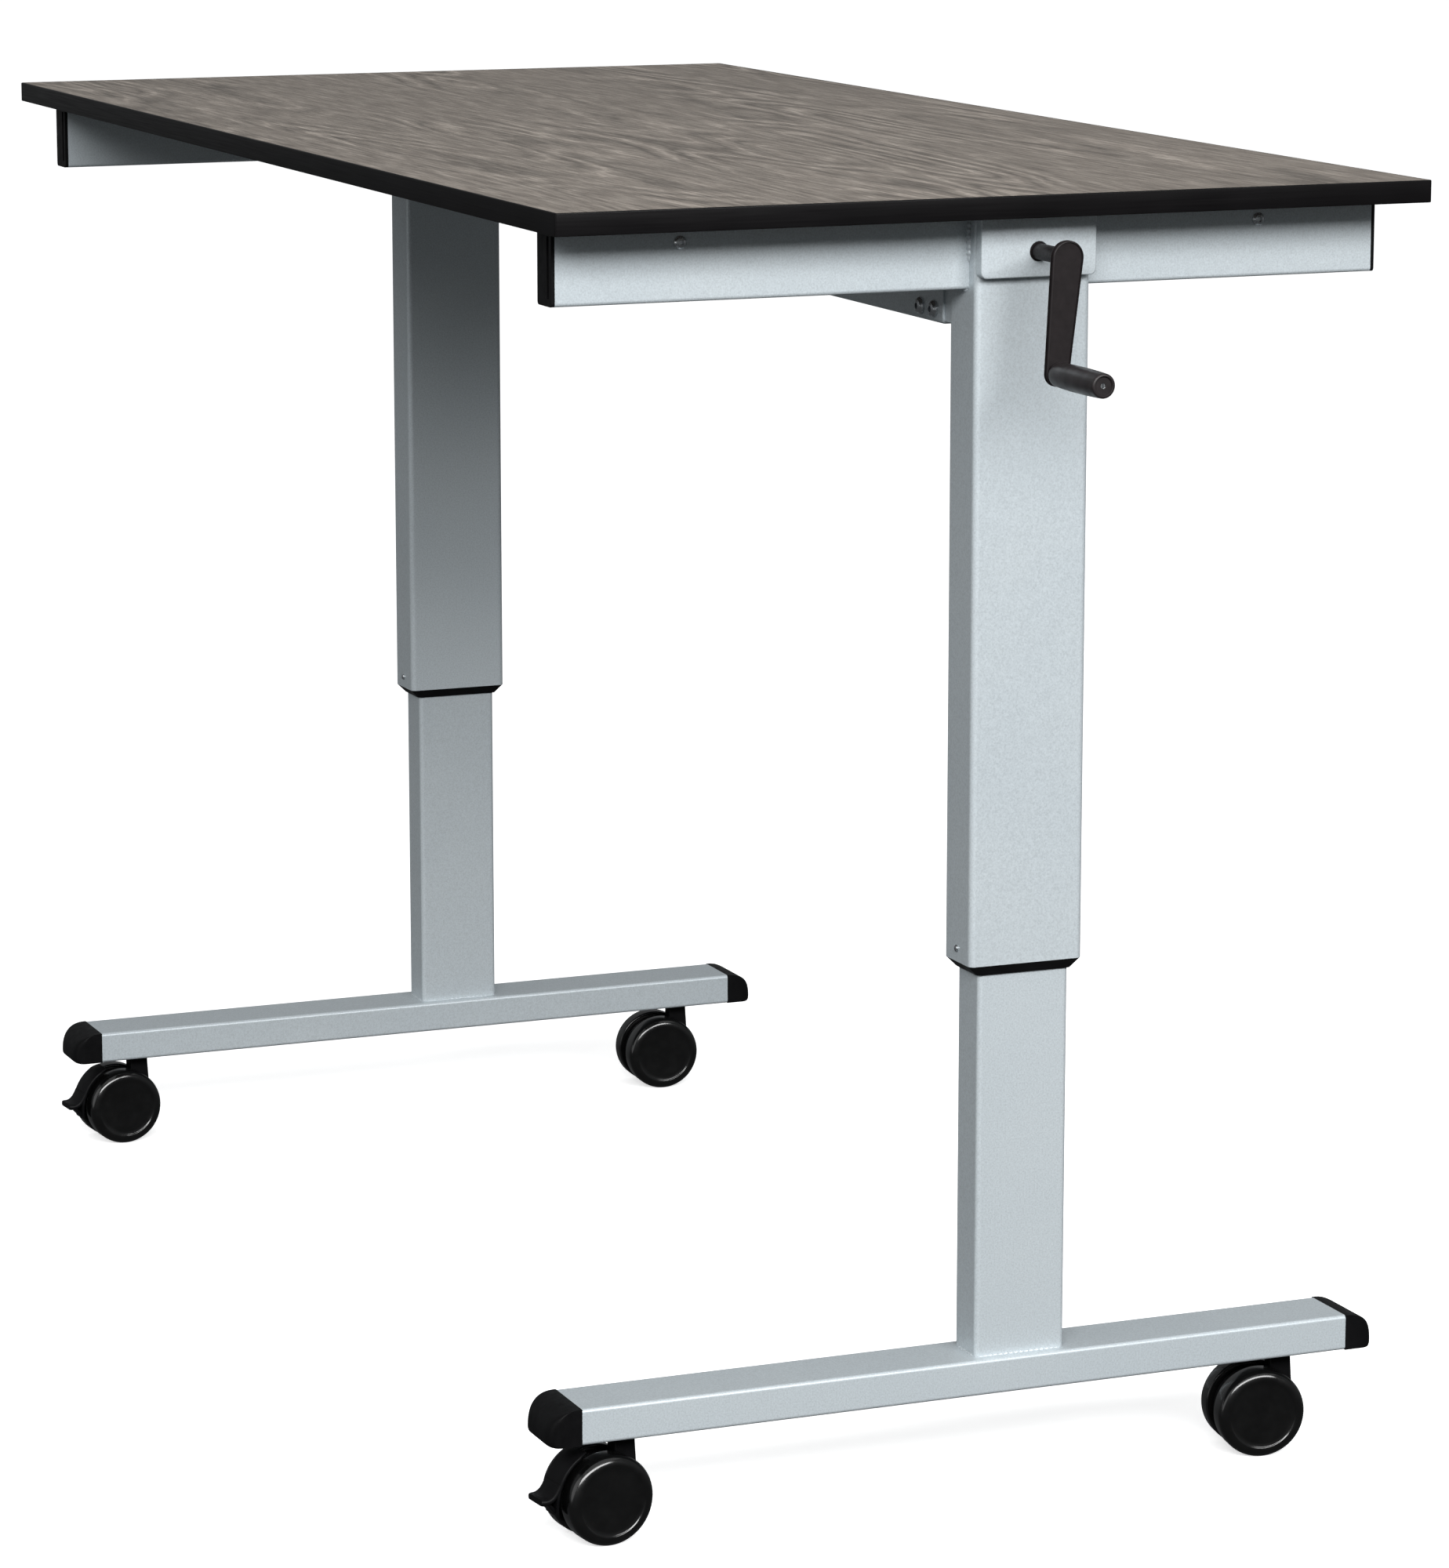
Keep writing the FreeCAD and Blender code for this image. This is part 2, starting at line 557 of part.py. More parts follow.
def make_cover(side):
    """The shallow tray over a column's outer face, with the crank's hole."""
    out = SIDES[side]
    cover = body(f"{side}_cover", f"{MIDDLE} + {out} * {COLUMN_FACE}", "column_shift",
                 f"{UNDERSIDE} - cover_height / 2")
    pad(cover, rectangle(sketch(cover, "YZ"), "column_depth", "cover_height"), "cover_thick",
        back=out < 0)
    fillet(cover, "cover_corner", lower_edges_along_x)
    inside = [f"{size} - 2 * cover_wall" for size in ("column_depth", "cover_height")]
    pocket(cover, rectangle(sketch(cover, "YZ"), *inside, "cover_corner - cover_wall"),
           "cover_thick - cover_wall", back=out > 0)
    hole = circle(sketch(cover, "YZ"), "cover_hole", "0", "cover_height / 2 - gear_drop")
    pocket(cover, hole)
    return node(cover, f"{side}_cover")


def make_gears(side):
    """A pair of mitre gear blanks about the point where the two shafts' lines cross."""
    outline = [("-gear_face", "0"), ("-gear_face", "gear_radius - gear_face - gear_clear"),
               ("-gear_radius", "gear_radius - gear_clear"), ("-gear_radius", "hub_radius")]
    end = "-(column_width / 2 - column_wall - box_gap)"
    drive = body(f"{side}_drive_gear", leg_x(side), "column_shift", GEAR_AXIS)
    points = outline + [(end, "hub_radius"), (end, "0")]
    revolve(drive, polygon(sketch(drive, "XZ"), points), "H_Axis")
    pocket(drive, hexagon(sketch(drive, "YZ"), "rod_across + rod_gap"))
    node(drive, f"{side}_drive_gear")
    end = "-(box_height - gear_drop)"
    driven = body(f"{side}_screw_gear", leg_x(side), "column_shift", GEAR_AXIS)
    points = [(radius, place) for place, radius in outline] + [("hub_radius", end), ("0", end)]
    revolve(driven, polygon(sketch(driven, "XZ"), points), "V_Axis")
    return pocket(driven, circle(sketch(driven, "XY"), "journal_radius + bearing_gap"))


def make_lead_screw(side, gear):
    """The screw that hangs from the gearbox, with its gear: journal, shoulder and long thread."""
    made = body(f"{side}_screw_shaft", leg_x(side), "column_shift", BOX_BOTTOM)
    length = "(top_clear + height_travel + nut_length + screw_tail)"
    journal = "box_height - gear_drop - gear_face - journal_gap"
    low = "-(screw_clear + shoulder_height)"
    points = [("0", journal), ("journal_radius", journal), ("journal_radius", "-screw_clear"),
              ("shoulder_radius", "-screw_clear"), ("shoulder_radius", low), ("screw_radius", low),
              ("screw_radius", f"-{length}"), ("0", f"-{length}")]
    revolve(made, polygon(sketch(made, "XZ"), points), "V_Axis")
    return compound(f"{side}_lead_screw", [made, gear])


def make_inner_column(side):
    column = body(f"{side}_inner_column", leg_x(side), "column_shift", FOOT_TOP)
    tube(column, "XY", INNER_WIDTH, INNER_DEPTH, "inner_corner", "inner_wall",
         f"{INNER_TOP} - block_height - {FOOT_TOP}")
    return node(column, f"{side}_inner_column")


def make_slide_block(side):
    """The plastic block on the inner tube: it runs in the outer tube and holds the nut."""
    block = body(f"{side}_slide_block", leg_x(side), "column_shift", INNER_TOP)
    head = [f"column_{size} - 2 * column_wall - 2 * slide_gap" for size in ("width", "depth")]
    pad(block, rectangle(sketch(block, "XY"), *head, "column_corner - column_wall"), "block_height",
        back=True)
    plug = [f"{size} - 2 * inner_wall - 2 * plug_gap" for size in (INNER_WIDTH, INNER_DEPTH)]
    pad(block, rectangle(sketch(block, "XY"), *plug, "inner_corner - inner_wall"),
        "block_height + block_plug", back=True)
    pocket(block, circle(sketch(block, "XY"), "nut_radius + bearing_gap"))
    node(block, f"{side}_slide_block")
    nut = body(f"{side}_lead_nut", leg_x(side), "column_shift", INNER_TOP)
    ring = circle(sketch(nut, "XY"), "nut_radius")
    circle(ring, "screw_radius + bearing_gap")
    pad(nut, ring, "nut_length", back=True)
    node(nut, f"{side}_lead_nut")


def make_foot(side):
    """The floor tube, with the four holes for the caster stems in its lower wall."""
    foot = body(f"{side}_foot", leg_x(side), "0", f"{FOOT_TOP} - foot_height / 2")
    tube(foot, "XZ", "foot_width", "foot_height", "foot_corner", "foot_wall", "foot_length",
         centred=True)
    holes = sketch(foot, "XY", z="-foot_height / 2")
    for end in ENDS.values():
        circle(holes, "stem_radius + fit_gap", "0", f"{end} * stem_place")
    pocket(foot, holes, "2 * foot_wall", back=True)
    return node(foot, f"{side}_foot")


def make_foot_cap(side, end):
    """A rounded plastic nose: one block rounded from above, cut to a plan with round corners."""
    turn = (Vector(0, 0, 1), "180" if end == "front" else "0")
    cap = body(f"{side}_{end}_foot_cap", leg_x(side), f"{ENDS[end]} * foot_length / 2",
               f"{FOOT_TOP} - foot_height / 2", turn)
    side_view = sketch(cap, "YZ")
    nose(side_view)
    pad(cap, side_view, "foot_width", centred=True)
    plan = sketch(cap, "XY")
    outer_corners(plan)
    pocket(cap, plan)
    plug = [f"foot_{size} - 2 * foot_wall - 2 * plug_gap" for size in ("width", "height")]
    return pad(cap, rectangle(sketch(cap, "XZ"), *plug, "foot_corner - foot_wall"), "foot_cap_plug")


def nose(drawn):
    """Side view of a foot cap: flat base, small lower round, large quarter round above."""
    long, half = value(FOOT_CAP), value("foot_height / 2")
    top, base = value(FOOT_CAP_TOP), value("foot_cap_base")
    line(drawn, (0, half), (0, -half))
    line(drawn, (0, -half), (long - base, -half))
    arc(drawn, (long - base, base - half), base, -90, 0)
    line(drawn, (long, base - half), (long, half - top))
    arc(drawn, (long - top, half - top), top, 0, 90)
    line(drawn, (long - top, half), (0, half))
    constrain(drawn, "Coincident", 0, 2, 1, 1)
    constrain(drawn, "Tangent", 1, 2, 2, 1)
    constrain(drawn, "Tangent", 2, 2, 3, 1)
    constrain(drawn, "Tangent", 3, 2, 4, 1)
    constrain(drawn, "Tangent", 4, 2, 5, 1)
    constrain(drawn, "Coincident", 5, 2, 0, 1)
    constrain(drawn, "Vertical", 0)
    constrain(drawn, "Horizontal", 1)
    constrain(drawn, "Vertical", 3)
    constrain(drawn, "Horizontal", 5)
    constrain(drawn, "Radius", 2, size="foot_cap_base")
    constrain(drawn, "Radius", 4, size=FOOT_CAP_TOP)
    constrain(drawn, "DistanceX", -1, 1, 0, 1, size="0")
    constrain(drawn, "DistanceY", -1, 1, 0, 1, size="foot_height / 2")
    constrain(drawn, "DistanceY", -1, 1, 0, 2, size="-foot_height / 2")
    constrain(drawn, "DistanceX", -1, 1, 3, 1, size=FOOT_CAP)


def outer_corners(drawn):
    """The two corners outside a round-cornered plan, each between an arc and a square corner."""
    wide, long, r = value("foot_width / 2"), value(FOOT_CAP), value("foot_cap_corner")
    for number, out in enumerate((1, -1)):
        first = 3 * number
        line(drawn, (out * wide, long - r), (out * wide, long))
        line(drawn, (out * wide, long), (out * (wide - r), long))
        start = 0 if out > 0 else 90
        arc(drawn, (out * (wide - r), long - r), r, start, start + 90)
        low, high = (1, 2) if out > 0 else (2, 1)
        constrain(drawn, "Coincident", first, 2, first + 1, 1)
        constrain(drawn, "Tangent", first, 1, first + 2, low)
        constrain(drawn, "Tangent", first + 1, 2, first + 2, high)
        constrain(drawn, "Vertical", first)
        constrain(drawn, "Horizontal", first + 1)
        constrain(drawn, "Radius", first + 2, size="foot_cap_corner")
        constrain(drawn, "DistanceX", -1, 1, first, 2, size=f"{out} * foot_width / 2")
        constrain(drawn, "DistanceY", -1, 1, first, 2, size=FOOT_CAP)


def make_crank():
    """Sleeve, cross rod, flat arm, free grip and the pin that it turns on."""
    sleeve = body("crank_sleeve", f"{leg_x('near')} + sleeve_start", "column_shift", GEAR_AXIS)
    length = "(column_width / 2 + crank_stand + crank_thick - sleeve_start)"
    pad(sleeve, circle(sketch(sleeve, "YZ"), "sleeve_radius"), length)
    pocket(sleeve, hexagon(sketch(sleeve, "YZ"), "rod_across + rod_gap"), "socket_depth", back=True)
    node(sleeve, "crank_sleeve")
    far_end = "(column_width / 2 - column_wall)"
    rod = body("cross_rod", f"{leg_x('far')} - {far_end}", "column_shift", GEAR_AXIS)
    length = f"2 * {LEG} + {far_end} + sleeve_start + socket_depth - socket_spare"
    pad(rod, hexagon(sketch(rod, "YZ"), "rod_across"), length)
    node(rod, "cross_rod")
    turn = (Vector(-1, 0, 0), "crank_rest")
    arm = body("crank_arm", f"{MIDDLE} + {CRANK_FACE}", "column_shift", GEAR_AXIS, turn)
    pad(arm, tapered_bar(sketch(arm, "YZ")), "crank_thick")
    pocket(arm, circle(sketch(arm, "YZ"), "sleeve_radius + bearing_gap"))
    pocket(arm, circle(sketch(arm, "YZ"), "pin_radius + bearing_gap", "0", "-crank_length"))
    node(arm, "crank_arm")
    grip_y = "column_shift - crank_length * sin(crank_rest)"
    grip_z = f"{GEAR_AXIS} - crank_length * cos(crank_rest)"
    pin = body("grip_pin", f"{MIDDLE} + {CRANK_FACE}", grip_y, grip_z)
    reach = "(crank_thick + grip_gap + grip_length - grip_recess + bearing_gap)"
    tip = f"{reach} + pin_head_height"
    points = [("0", "0"), ("0", "pin_radius"), (reach, "pin_radius"), (reach, "pin_head"),
              (f"{tip} - pin_head_edge", "pin_head"), (tip, "pin_head - pin_head_edge"), (tip, "0")]
    revolve(pin, polygon(sketch(pin, "XZ"), points), "H_Axis")
    pocket(pin, rectangle(sketch(pin, "YZ", z=tip), "pin_slot_width", "pin_slot_length"), "pin_slot_depth")
    node(pin, "grip_pin")
    grip = body("crank_grip", f"{MIDDLE} + {GRIP_START}", grip_y, grip_z)
    floor = "grip_length - grip_recess"
    bore = "pin_radius + bearing_gap"
    points = [("0", bore), ("0", "grip_waist"), ("grip_shoulder_place", "grip_shoulder"),
              ("grip_crest_place", "grip_radius"), ("grip_length", "grip_end"),
              ("grip_length", "grip_recess_radius"), (floor, "grip_recess_radius"), (floor, bore)]
    revolve(grip, polygon(sketch(grip, "XZ"), points), "H_Axis")
    fillet(grip, "grip_round", circle_edges(0, "0", "grip_waist"))
    fillet(grip, "grip_round", circle_edges(0, "grip_length", "grip_end"))
    node(grip, "crank_grip")


def tapered_bar(drawn):
    """Outline of the crank arm: two round ends joined by their tangents, narrower below."""
    big, small, length = value("crank_top"), value("crank_tip"), value("crank_length")
    lean = math.degrees(math.asin((big - small) / length))
    turn = math.radians(lean)
    spot = {}
    for name, radius, height in (("top", big, 0), ("tip", small, -length)):
        for out in (1, -1):
            spot[name, out] = (out * radius * math.cos(turn), height - radius * math.sin(turn))
    arc(drawn, (0, 0), big, -lean, 180 + lean)
    line(drawn, spot["top", -1], spot["tip", -1])
    arc(drawn, (0, -length), small, 180 + lean, 360 - lean)
    line(drawn, spot["tip", 1], spot["top", 1])
    constrain(drawn, "Tangent", 0, 2, 1, 1)
    constrain(drawn, "Tangent", 1, 2, 2, 1)
    constrain(drawn, "Tangent", 2, 2, 3, 1)
    constrain(drawn, "Tangent", 3, 2, 0, 1)
    constrain(drawn, "Coincident", 0, 3, -1, 1)
    constrain(drawn, "Radius", 0, size="crank_top")
    constrain(drawn, "Radius", 2, size="crank_tip")
    constrain(drawn, "DistanceX", -1, 1, 2, 3, size="0")
    constrain(drawn, "DistanceY", -1, 1, 2, 3, size="-crank_length")
    return drawn


def caster_turn(side, end):
    """How a caster is swivelled at rest, about the stem."""
    name = f"{side}_{end}_swivel"
    sign = 1 if value(name) >= 0 else -1
    return (Vector(0, 0, sign), name)


def make_stem(side, end):
    """The threaded stem with its hex collar under the foot, and its nut inside the foot."""
    stem = body(f"{side}_{end}_stem_bolt", leg_x(side), f"{ENDS[end]} * stem_place", FOOT_BOTTOM)
    low = "-(washer_height + stem_depth)"
    points = [("0", "stem_top"), ("stem_radius", "stem_top"), ("stem_radius", low), ("0", low)]
    revolve(stem, polygon(sketch(stem, "XZ"), points), "V_Axis")
    pad(stem, hexagon(sketch(stem, "XY"), "2 * collar_radius"), "washer_height", back=True)
    nut = body(f"{side}_{end}_stem_nut", leg_x(side), f"{ENDS[end]} * stem_place",
               f"{FOOT_BOTTOM} + foot_wall")
    pad(nut, hexagon(sketch(nut, "XY"), "2 * collar_radius"), "stem_nut_height")
    pocket(nut, circle(sketch(nut, "XY"), "stem_radius + bearing_gap"))
    return [stem, nut]


def make_hood(side, end):
    """The caster's housing: a disc between the wheels and a neck up to the stem's collar."""
    place = (leg_x(side), f"{ENDS[end]} * stem_place", "0", caster_turn(side, end))
    hood = body(f"{side}_{end}_hood", *place)
    disc = circle(sketch(hood, "YZ"), HOOD_RADIUS, "-trail", "wheel_radius")
    pad(hood, disc, HOOD_WIDTH, centred=True)
    top = f"{FOOT_BOTTOM} - washer_height"
    neck = sketch(hood, "XY", y="(neck_back - neck_front) / 2", z=top)
    rectangle(neck, "neck_width", "neck_front + neck_back", "neck_corner")
    pad(hood, neck, f"{top} - wheel_radius", back=True)
    bore = circle(sketch(hood, "XY", z=top), "stem_radius + bearing_gap")
    pocket(hood, bore, "stem_depth + stem_spare")
    pocket(hood, circle(sketch(hood, "YZ"), "axle_radius + bearing_gap", "-trail", "wheel_radius"))
    return node(hood, f"{side}_{end}_hood")


def wheel_place(side, end):
    """The wheel centre's placement, with the axle's line along the body's X axis."""
    swivel = f"{side}_{end}_swivel"
    return (f"{leg_x(side)} + trail * sin({swivel})",
            f"{ENDS[end]} * stem_place - trail * cos({swivel})", "wheel_radius", caster_turn(side, end))


def make_axle(side, end):
    axle = body(f"{side}_{end}_axle", *wheel_place(side, end))
    length = "wheel_space + 2 * (wheel_bore_depth - axle_gap)"
    pad(axle, circle(sketch(axle, "YZ"), "axle_radius"), length, centred=True)
    return node(axle, f"{side}_{end}_axle")


def make_wheel(side, end, hand):
    """One wheel of a pair: round-shouldered tread, grooved cap face, blind bore."""
    out = {"right": 1, "left": -1}[hand]
    wheel = body(f"{side}_{end}_wheel_{hand}", *wheel_place(side, end))
    inner, outer = f"{out} * wheel_space / 2", f"{out} * (wheel_space / 2 + wheel_width)"
    deep = f"{out} * (wheel_space / 2 + wheel_bore_depth)"
    groove = f"{out} * (wheel_space / 2 + wheel_width - wheel_ring_depth)"
    bore = "axle_radius + bearing_gap"
    ring = "wheel_radius - wheel_rim"
    cap = f"{ring} - wheel_ring_width"
    points = [(inner, bore), (inner, "wheel_radius"), (outer, "wheel_radius"), (outer, ring),
              (groove, ring), (groove, cap), (outer, cap), (outer, "0"), (deep, "0"), (deep, bore)]
    revolve(wheel, polygon(sketch(wheel, "XZ"), points), "H_Axis")
    fillet(wheel, "wheel_round", circle_edges(0, outer, "wheel_radius"))
    fillet(wheel, "wheel_inner_round", circle_edges(0, inner, "wheel_radius"))
    return node(wheel, f"{side}_{end}_wheel_{hand}")


def make_pedal(side):
    """The brake pedal: a curved plate round the wheels with a lip, on two cheeks at the axle."""
    pedal = body(f"{side}_brake_pedal", *wheel_place(side, "front"))
    low, high = "wheel_radius + pedal_gap", "wheel_radius + pedal_gap + pedal_thick"
    pad(pedal, sector(sketch(pedal, "YZ"), low, high, "pedal_start", "pedal_end"), "pedal_width",
        centred=True)
    bend, tip = f"-({high}) - lip_bend", f"-({high}) - lip_reach"
    lip = [(f"-({low})", "lip_root"), (bend, "lip_hollow"), (tip, "lip_tip"),
           (tip, "lip_tip - lip_thick"), (bend, "lip_hollow - lip_thick"), (f"-({low})", "0")]
    pad(pedal, polygon(sketch(pedal, "YZ"), lip), "pedal_width", centred=True)
    cheeks = f"({HOOD_WIDTH} + 2 * cheek_gap + 2 * cheek_thick)"
    pad(pedal, sector(sketch(pedal, "YZ"), "cheek_inside", low, "cheek_start", "cheek_end"), cheeks,
        centred=True)
    pad(pedal, circle(sketch(pedal, "YZ"), "cheek_hub"), cheeks, centred=True)
    slot = circle(sketch(pedal, "YZ"), f"{HOOD_RADIUS} + pedal_gap")
    pocket(pedal, slot, f"{HOOD_WIDTH} + 2 * cheek_gap", centred=True)
    pocket(pedal, circle(sketch(pedal, "YZ"), "axle_radius + bearing_gap"))
    return node(pedal, f"{side}_brake_pedal")


def sector(drawn, low, high, start, end):
    """A band between two radii and two angles about the sketch's origin."""
    radii = (value(low), value(high))
    angles = (value(start), value(end))
    ends = [[(r * math.cos(math.radians(a)), r * math.sin(math.radians(a))) for r in radii]
            for a in angles]
    arc(drawn, (0, 0), radii[0], *angles)
    arc(drawn, (0, 0), radii[1], *angles)
    line(drawn, ends[0][0], ends[0][1])
    line(drawn, ends[1][0], ends[1][1])
    for number in (0, 1):
        constrain(drawn, "Coincident", number, 3, -1, 1)
        constrain(drawn, "Radius", number, size=(low, high)[number])
        constrain(drawn, "Coincident", 2, number + 1, number, 1)
        constrain(drawn, "Coincident", 3, number + 1, number, 2)
    for number, angle in ((2, start), (3, end)):
        constrain(drawn, "PointOnObject", -1, 1, number)
        slope = drawn.addConstraint(Sketcher.Constraint("Angle", number, math.radians(value(angle))))
        bind(drawn, f"Constraints[{slope}]", f"({angle}) * 1 deg")
    return drawn


def make_all():
    make_desktop()
    for side in SIDES:
        make_column(side)
        make_collar(side)
        make_gearbox(side)
        make_cover(side)
        make_lead_screw(side, make_gears(side))
        make_inner_column(side)
        make_slide_block(side)
        make_foot(side)
        make_pedal(side)
        compound(f"{side}_arm_caps", [make_arm_cap(side, end) for end in ENDS])
        compound(f"{side}_foot_caps", [make_foot_cap(side, end) for end in ENDS])
        compound(f"{side}_stems", [solid for end in ENDS for solid in make_stem(side, end)])
        for end in ENDS:
            make_arm(side, end)
            make_hood(side, end)
            make_axle(side, end)
            for hand in ("left", "right"):
                make_wheel(side, end, hand)
    make_beam()
    compound("beam_tabs", [make_tab(side) for side in SIDES])
    make_beam_bolts()
    make_frame_screws()
    make_crank()


def write_parts():
    """Check every object, then write each sub-part to its own file."""
    doc.recompute()
    for made in doc.Objects:
        if {"Invalid", "Error"} & set(made.State):
            raise RuntimeError(f"{made.Label} failed: {made.State}")
    for made in nodes:
        if made.Shape.isNull() or not made.Shape.isValid():
            raise RuntimeError(f"{made.Label} has no valid shape")
    os.makedirs("parts", exist_ok=True)
    for made in nodes:
        made.Shape.exportStep(os.path.join("parts", f"{made.Label}.step"))


fill_sheet()
make_all()
write_parts()
print(len(nodes), "sub-parts written")
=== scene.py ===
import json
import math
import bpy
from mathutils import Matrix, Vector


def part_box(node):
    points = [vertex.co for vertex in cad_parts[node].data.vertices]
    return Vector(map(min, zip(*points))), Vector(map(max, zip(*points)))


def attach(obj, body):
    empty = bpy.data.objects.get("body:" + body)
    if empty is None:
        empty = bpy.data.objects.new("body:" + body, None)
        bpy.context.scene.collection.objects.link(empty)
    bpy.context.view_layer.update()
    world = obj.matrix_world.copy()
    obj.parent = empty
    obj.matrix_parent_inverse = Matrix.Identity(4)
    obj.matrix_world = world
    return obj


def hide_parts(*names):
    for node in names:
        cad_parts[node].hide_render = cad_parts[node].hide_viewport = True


bl_info = {
    "name": "Height adjustable standing desk",
    "version": (1, 0),
    "blender": (4, 5, 0),
    "location": "View3D > Sidebar > Desk",
    "description": "Finishes and detailed pieces for a hand-cranked standing desk",
    "category": "Object",
}

import bmesh
import bpy
from bpy.props import FloatProperty, FloatVectorProperty, PointerProperty
from mathutils import Matrix, Vector

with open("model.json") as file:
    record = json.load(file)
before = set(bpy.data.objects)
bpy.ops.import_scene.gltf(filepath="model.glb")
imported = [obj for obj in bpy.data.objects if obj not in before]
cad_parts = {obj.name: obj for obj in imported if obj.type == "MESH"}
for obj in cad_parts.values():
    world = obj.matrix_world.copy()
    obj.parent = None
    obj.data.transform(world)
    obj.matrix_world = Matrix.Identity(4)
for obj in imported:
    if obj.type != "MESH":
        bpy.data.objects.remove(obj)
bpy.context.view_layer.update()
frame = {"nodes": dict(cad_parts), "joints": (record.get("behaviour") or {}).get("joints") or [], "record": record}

# One unit is a metre. +X points to the crank end, called near, and the user sits on the -Y side,
# called front.
MM = 0.001
SIDES = {"near": 1, "far": -1}
ENDS = {"front": -1, "back": 1}
HANDS = ("left", "right")
JOINTS = {joint["name"]: joint for joint in frame["joints"]}


def linear(code):
    """A linear RGB colour from an sRGB hex value."""
    shares = [int(code[place:place + 2], 16) / 255 for place in (0, 2, 4)]
    return [share / 12.92 if share <= 0.04045 else ((share + 0.055) / 1.055) ** 2.4 for share in shares]


def size(name, default, description):
    """A length in metres that the user may change, from a default in millimetres."""
    return FloatProperty(name=name, description=description, default=default * MM, min=0.0, unit="LENGTH",
                         precision=5)


def colour(name, code, description):
    """A colour that the user may change, from an sRGB hex value."""
    return FloatVectorProperty(name=name, description=description, default=linear(code), min=0.0, max=1.0,
                               subtype="COLOR")


class DeskSizes(bpy.types.PropertyGroup):
    """Rounds, beads and other small sizes that the frame leaves out."""
    band_round: size("Band rounding", 0.9, "Radius along the desktop's edge band")
    cover_round: size("Cover rounding", 1.2, "Radius round the face of a cover plate")
    cover_corner: size("Cover corner", 5, "Radius of a cover plate's lower corners")
    beam_bend: size("Beam bend", 4, "Outer radius of the crossbeam's bends and end corners")
    bead_radius: size("Weld size", 2.4, "Radius of a weld bead")
    foot_bead: size("Foot weld size", 1.3, "Radius of the weld beads round the columns' feet")
    bead_pitch: size("Weld pitch", 4.6, "Distance between the ripples of a weld bead")
    cap_crease: size("Cap crease", 9, "How softly a foot cap's top runs into its sides")
    cap_corner: size("Cap corner", 14, "Radius of a foot cap's corners, seen from above")
    cap_base: size("Cap base", 5, "Rounding round a foot cap's bottom")
    cap_flat: size("Cap flat", 2, "Level part of a foot cap's top, next to the foot")
    shoulder: size("Wheel shoulder", 7, "Radius of a wheel's outer shoulder")
    ring_inset: size("Ring inset", 8.8, "From the tread to the sunk disc of a wheel")
    ring_depth: size("Ring depth", 0.9, "How far a wheel's disc is sunk")
    neck_front: size("Neck front", 11, "From a caster's stem to the axle side of its neck")
    neck_back: size("Neck back", 7.5, "From a caster's stem to the other side of its neck")
    pedal_thick: size("Pedal thickness", 3, "Thickness of a brake pedal's plate")
    lip_reach: size("Lip reach", 13, "How far a brake pedal's lip stands out from its plate")
    arm_round: size("Crank rounding", 1.3, "Radius round the edges of the crank arm")
    bush_radius: size("Bush radius", 7.6, "Radius of the bush inside the cover's hole")


class DeskColours(bpy.types.PropertyGroup):
    """The colours of the finishes."""
    silver: colour("Silver coat", "BDC5C9", "Silver powder coat")
    oak_dark: colour("Oak, dark", "625A54", "Darkest grain of the oak print")
    oak_mid: colour("Oak, middle", "827A72", "Ground of the oak print")
    oak_light: colour("Oak, light", "A69E95", "Lightest grain of the oak print")
    band: colour("Edge band", "0D0C0D", "Edge band of the desktop")
    black: colour("Black plastic", "0E0E0F", "Moulded caps, hoods and pedals")
    wheel: colour("Wheel", "090909", "Caster wheels")
    crank: colour("Crank", "1A1617", "Crank arm and sleeve")
    grip: colour("Grip", "221E1F", "Crank grip")
    zinc: colour("Zinc", "C6CACD", "Plated screws, bolts and stems")
    aluminium: colour("Aluminium", "B4B5B7", "Cast gearboxes")
    bronze: colour("Bronze", "B08A4A", "Lead nuts")
    floor: colour("Floor", "F8F8F8", "Studio floor")


# Materials

def add(tree, kind, inputs=None, stops=(), **settings):
    """Add a node with its settings. An input is given a value, or linked when it is given a socket.
    Stops are a colour ramp's places and colours."""
    made = tree.nodes.new(kind)
    for name, setting in settings.items():
        setattr(made, name, setting)
    for name, given in (inputs or {}).items():
        if isinstance(given, bpy.types.NodeSocket):
            tree.links.new(given, made.inputs[name])
        else:
            made.inputs[name].default_value = given
    for number, (place, tint) in enumerate(stops):
        ramp = made.color_ramp.elements
        stop = ramp[number] if number < len(ramp) else ramp.new(place)
        stop.position = place
        stop.color = (*tint, 1)
    return made


def per_metre(millimetres):
    """A pattern's scale from the size of one of its repeats."""
    return 1 / (millimetres * MM)


def shade(tint, factor):
    """A tint made lighter or darker."""
    return [share * factor for share in tint]


def start(name):
    """A new material: its node tree, its shader and the object's own coordinates."""
    material = bpy.data.materials.new(name)
    material.use_nodes = True
    tree = material.node_tree
    shader = tree.nodes["Principled BSDF"]
    place = add(tree, "ShaderNodeTexCoord").outputs["Object"]
    return material, tree, shader, place


def tone(tree, shader, place, tint, grain, spread, detail=2.0):
    """Vary the base colour around a tint, with patches of one size in millimetres."""
    noise = add(tree, "ShaderNodeTexNoise", {"Vector": place, "Scale": per_metre(grain), "Detail": detail})
    ramp = add(tree, "ShaderNodeValToRGB", {"Fac": noise.outputs["Fac"]},
               stops=[(0.3, shade(tint, 1 - spread)), (0.7, shade(tint, 1 + spread))])
    tree.links.new(ramp.outputs["Color"], shader.inputs["Base Color"])
    return noise


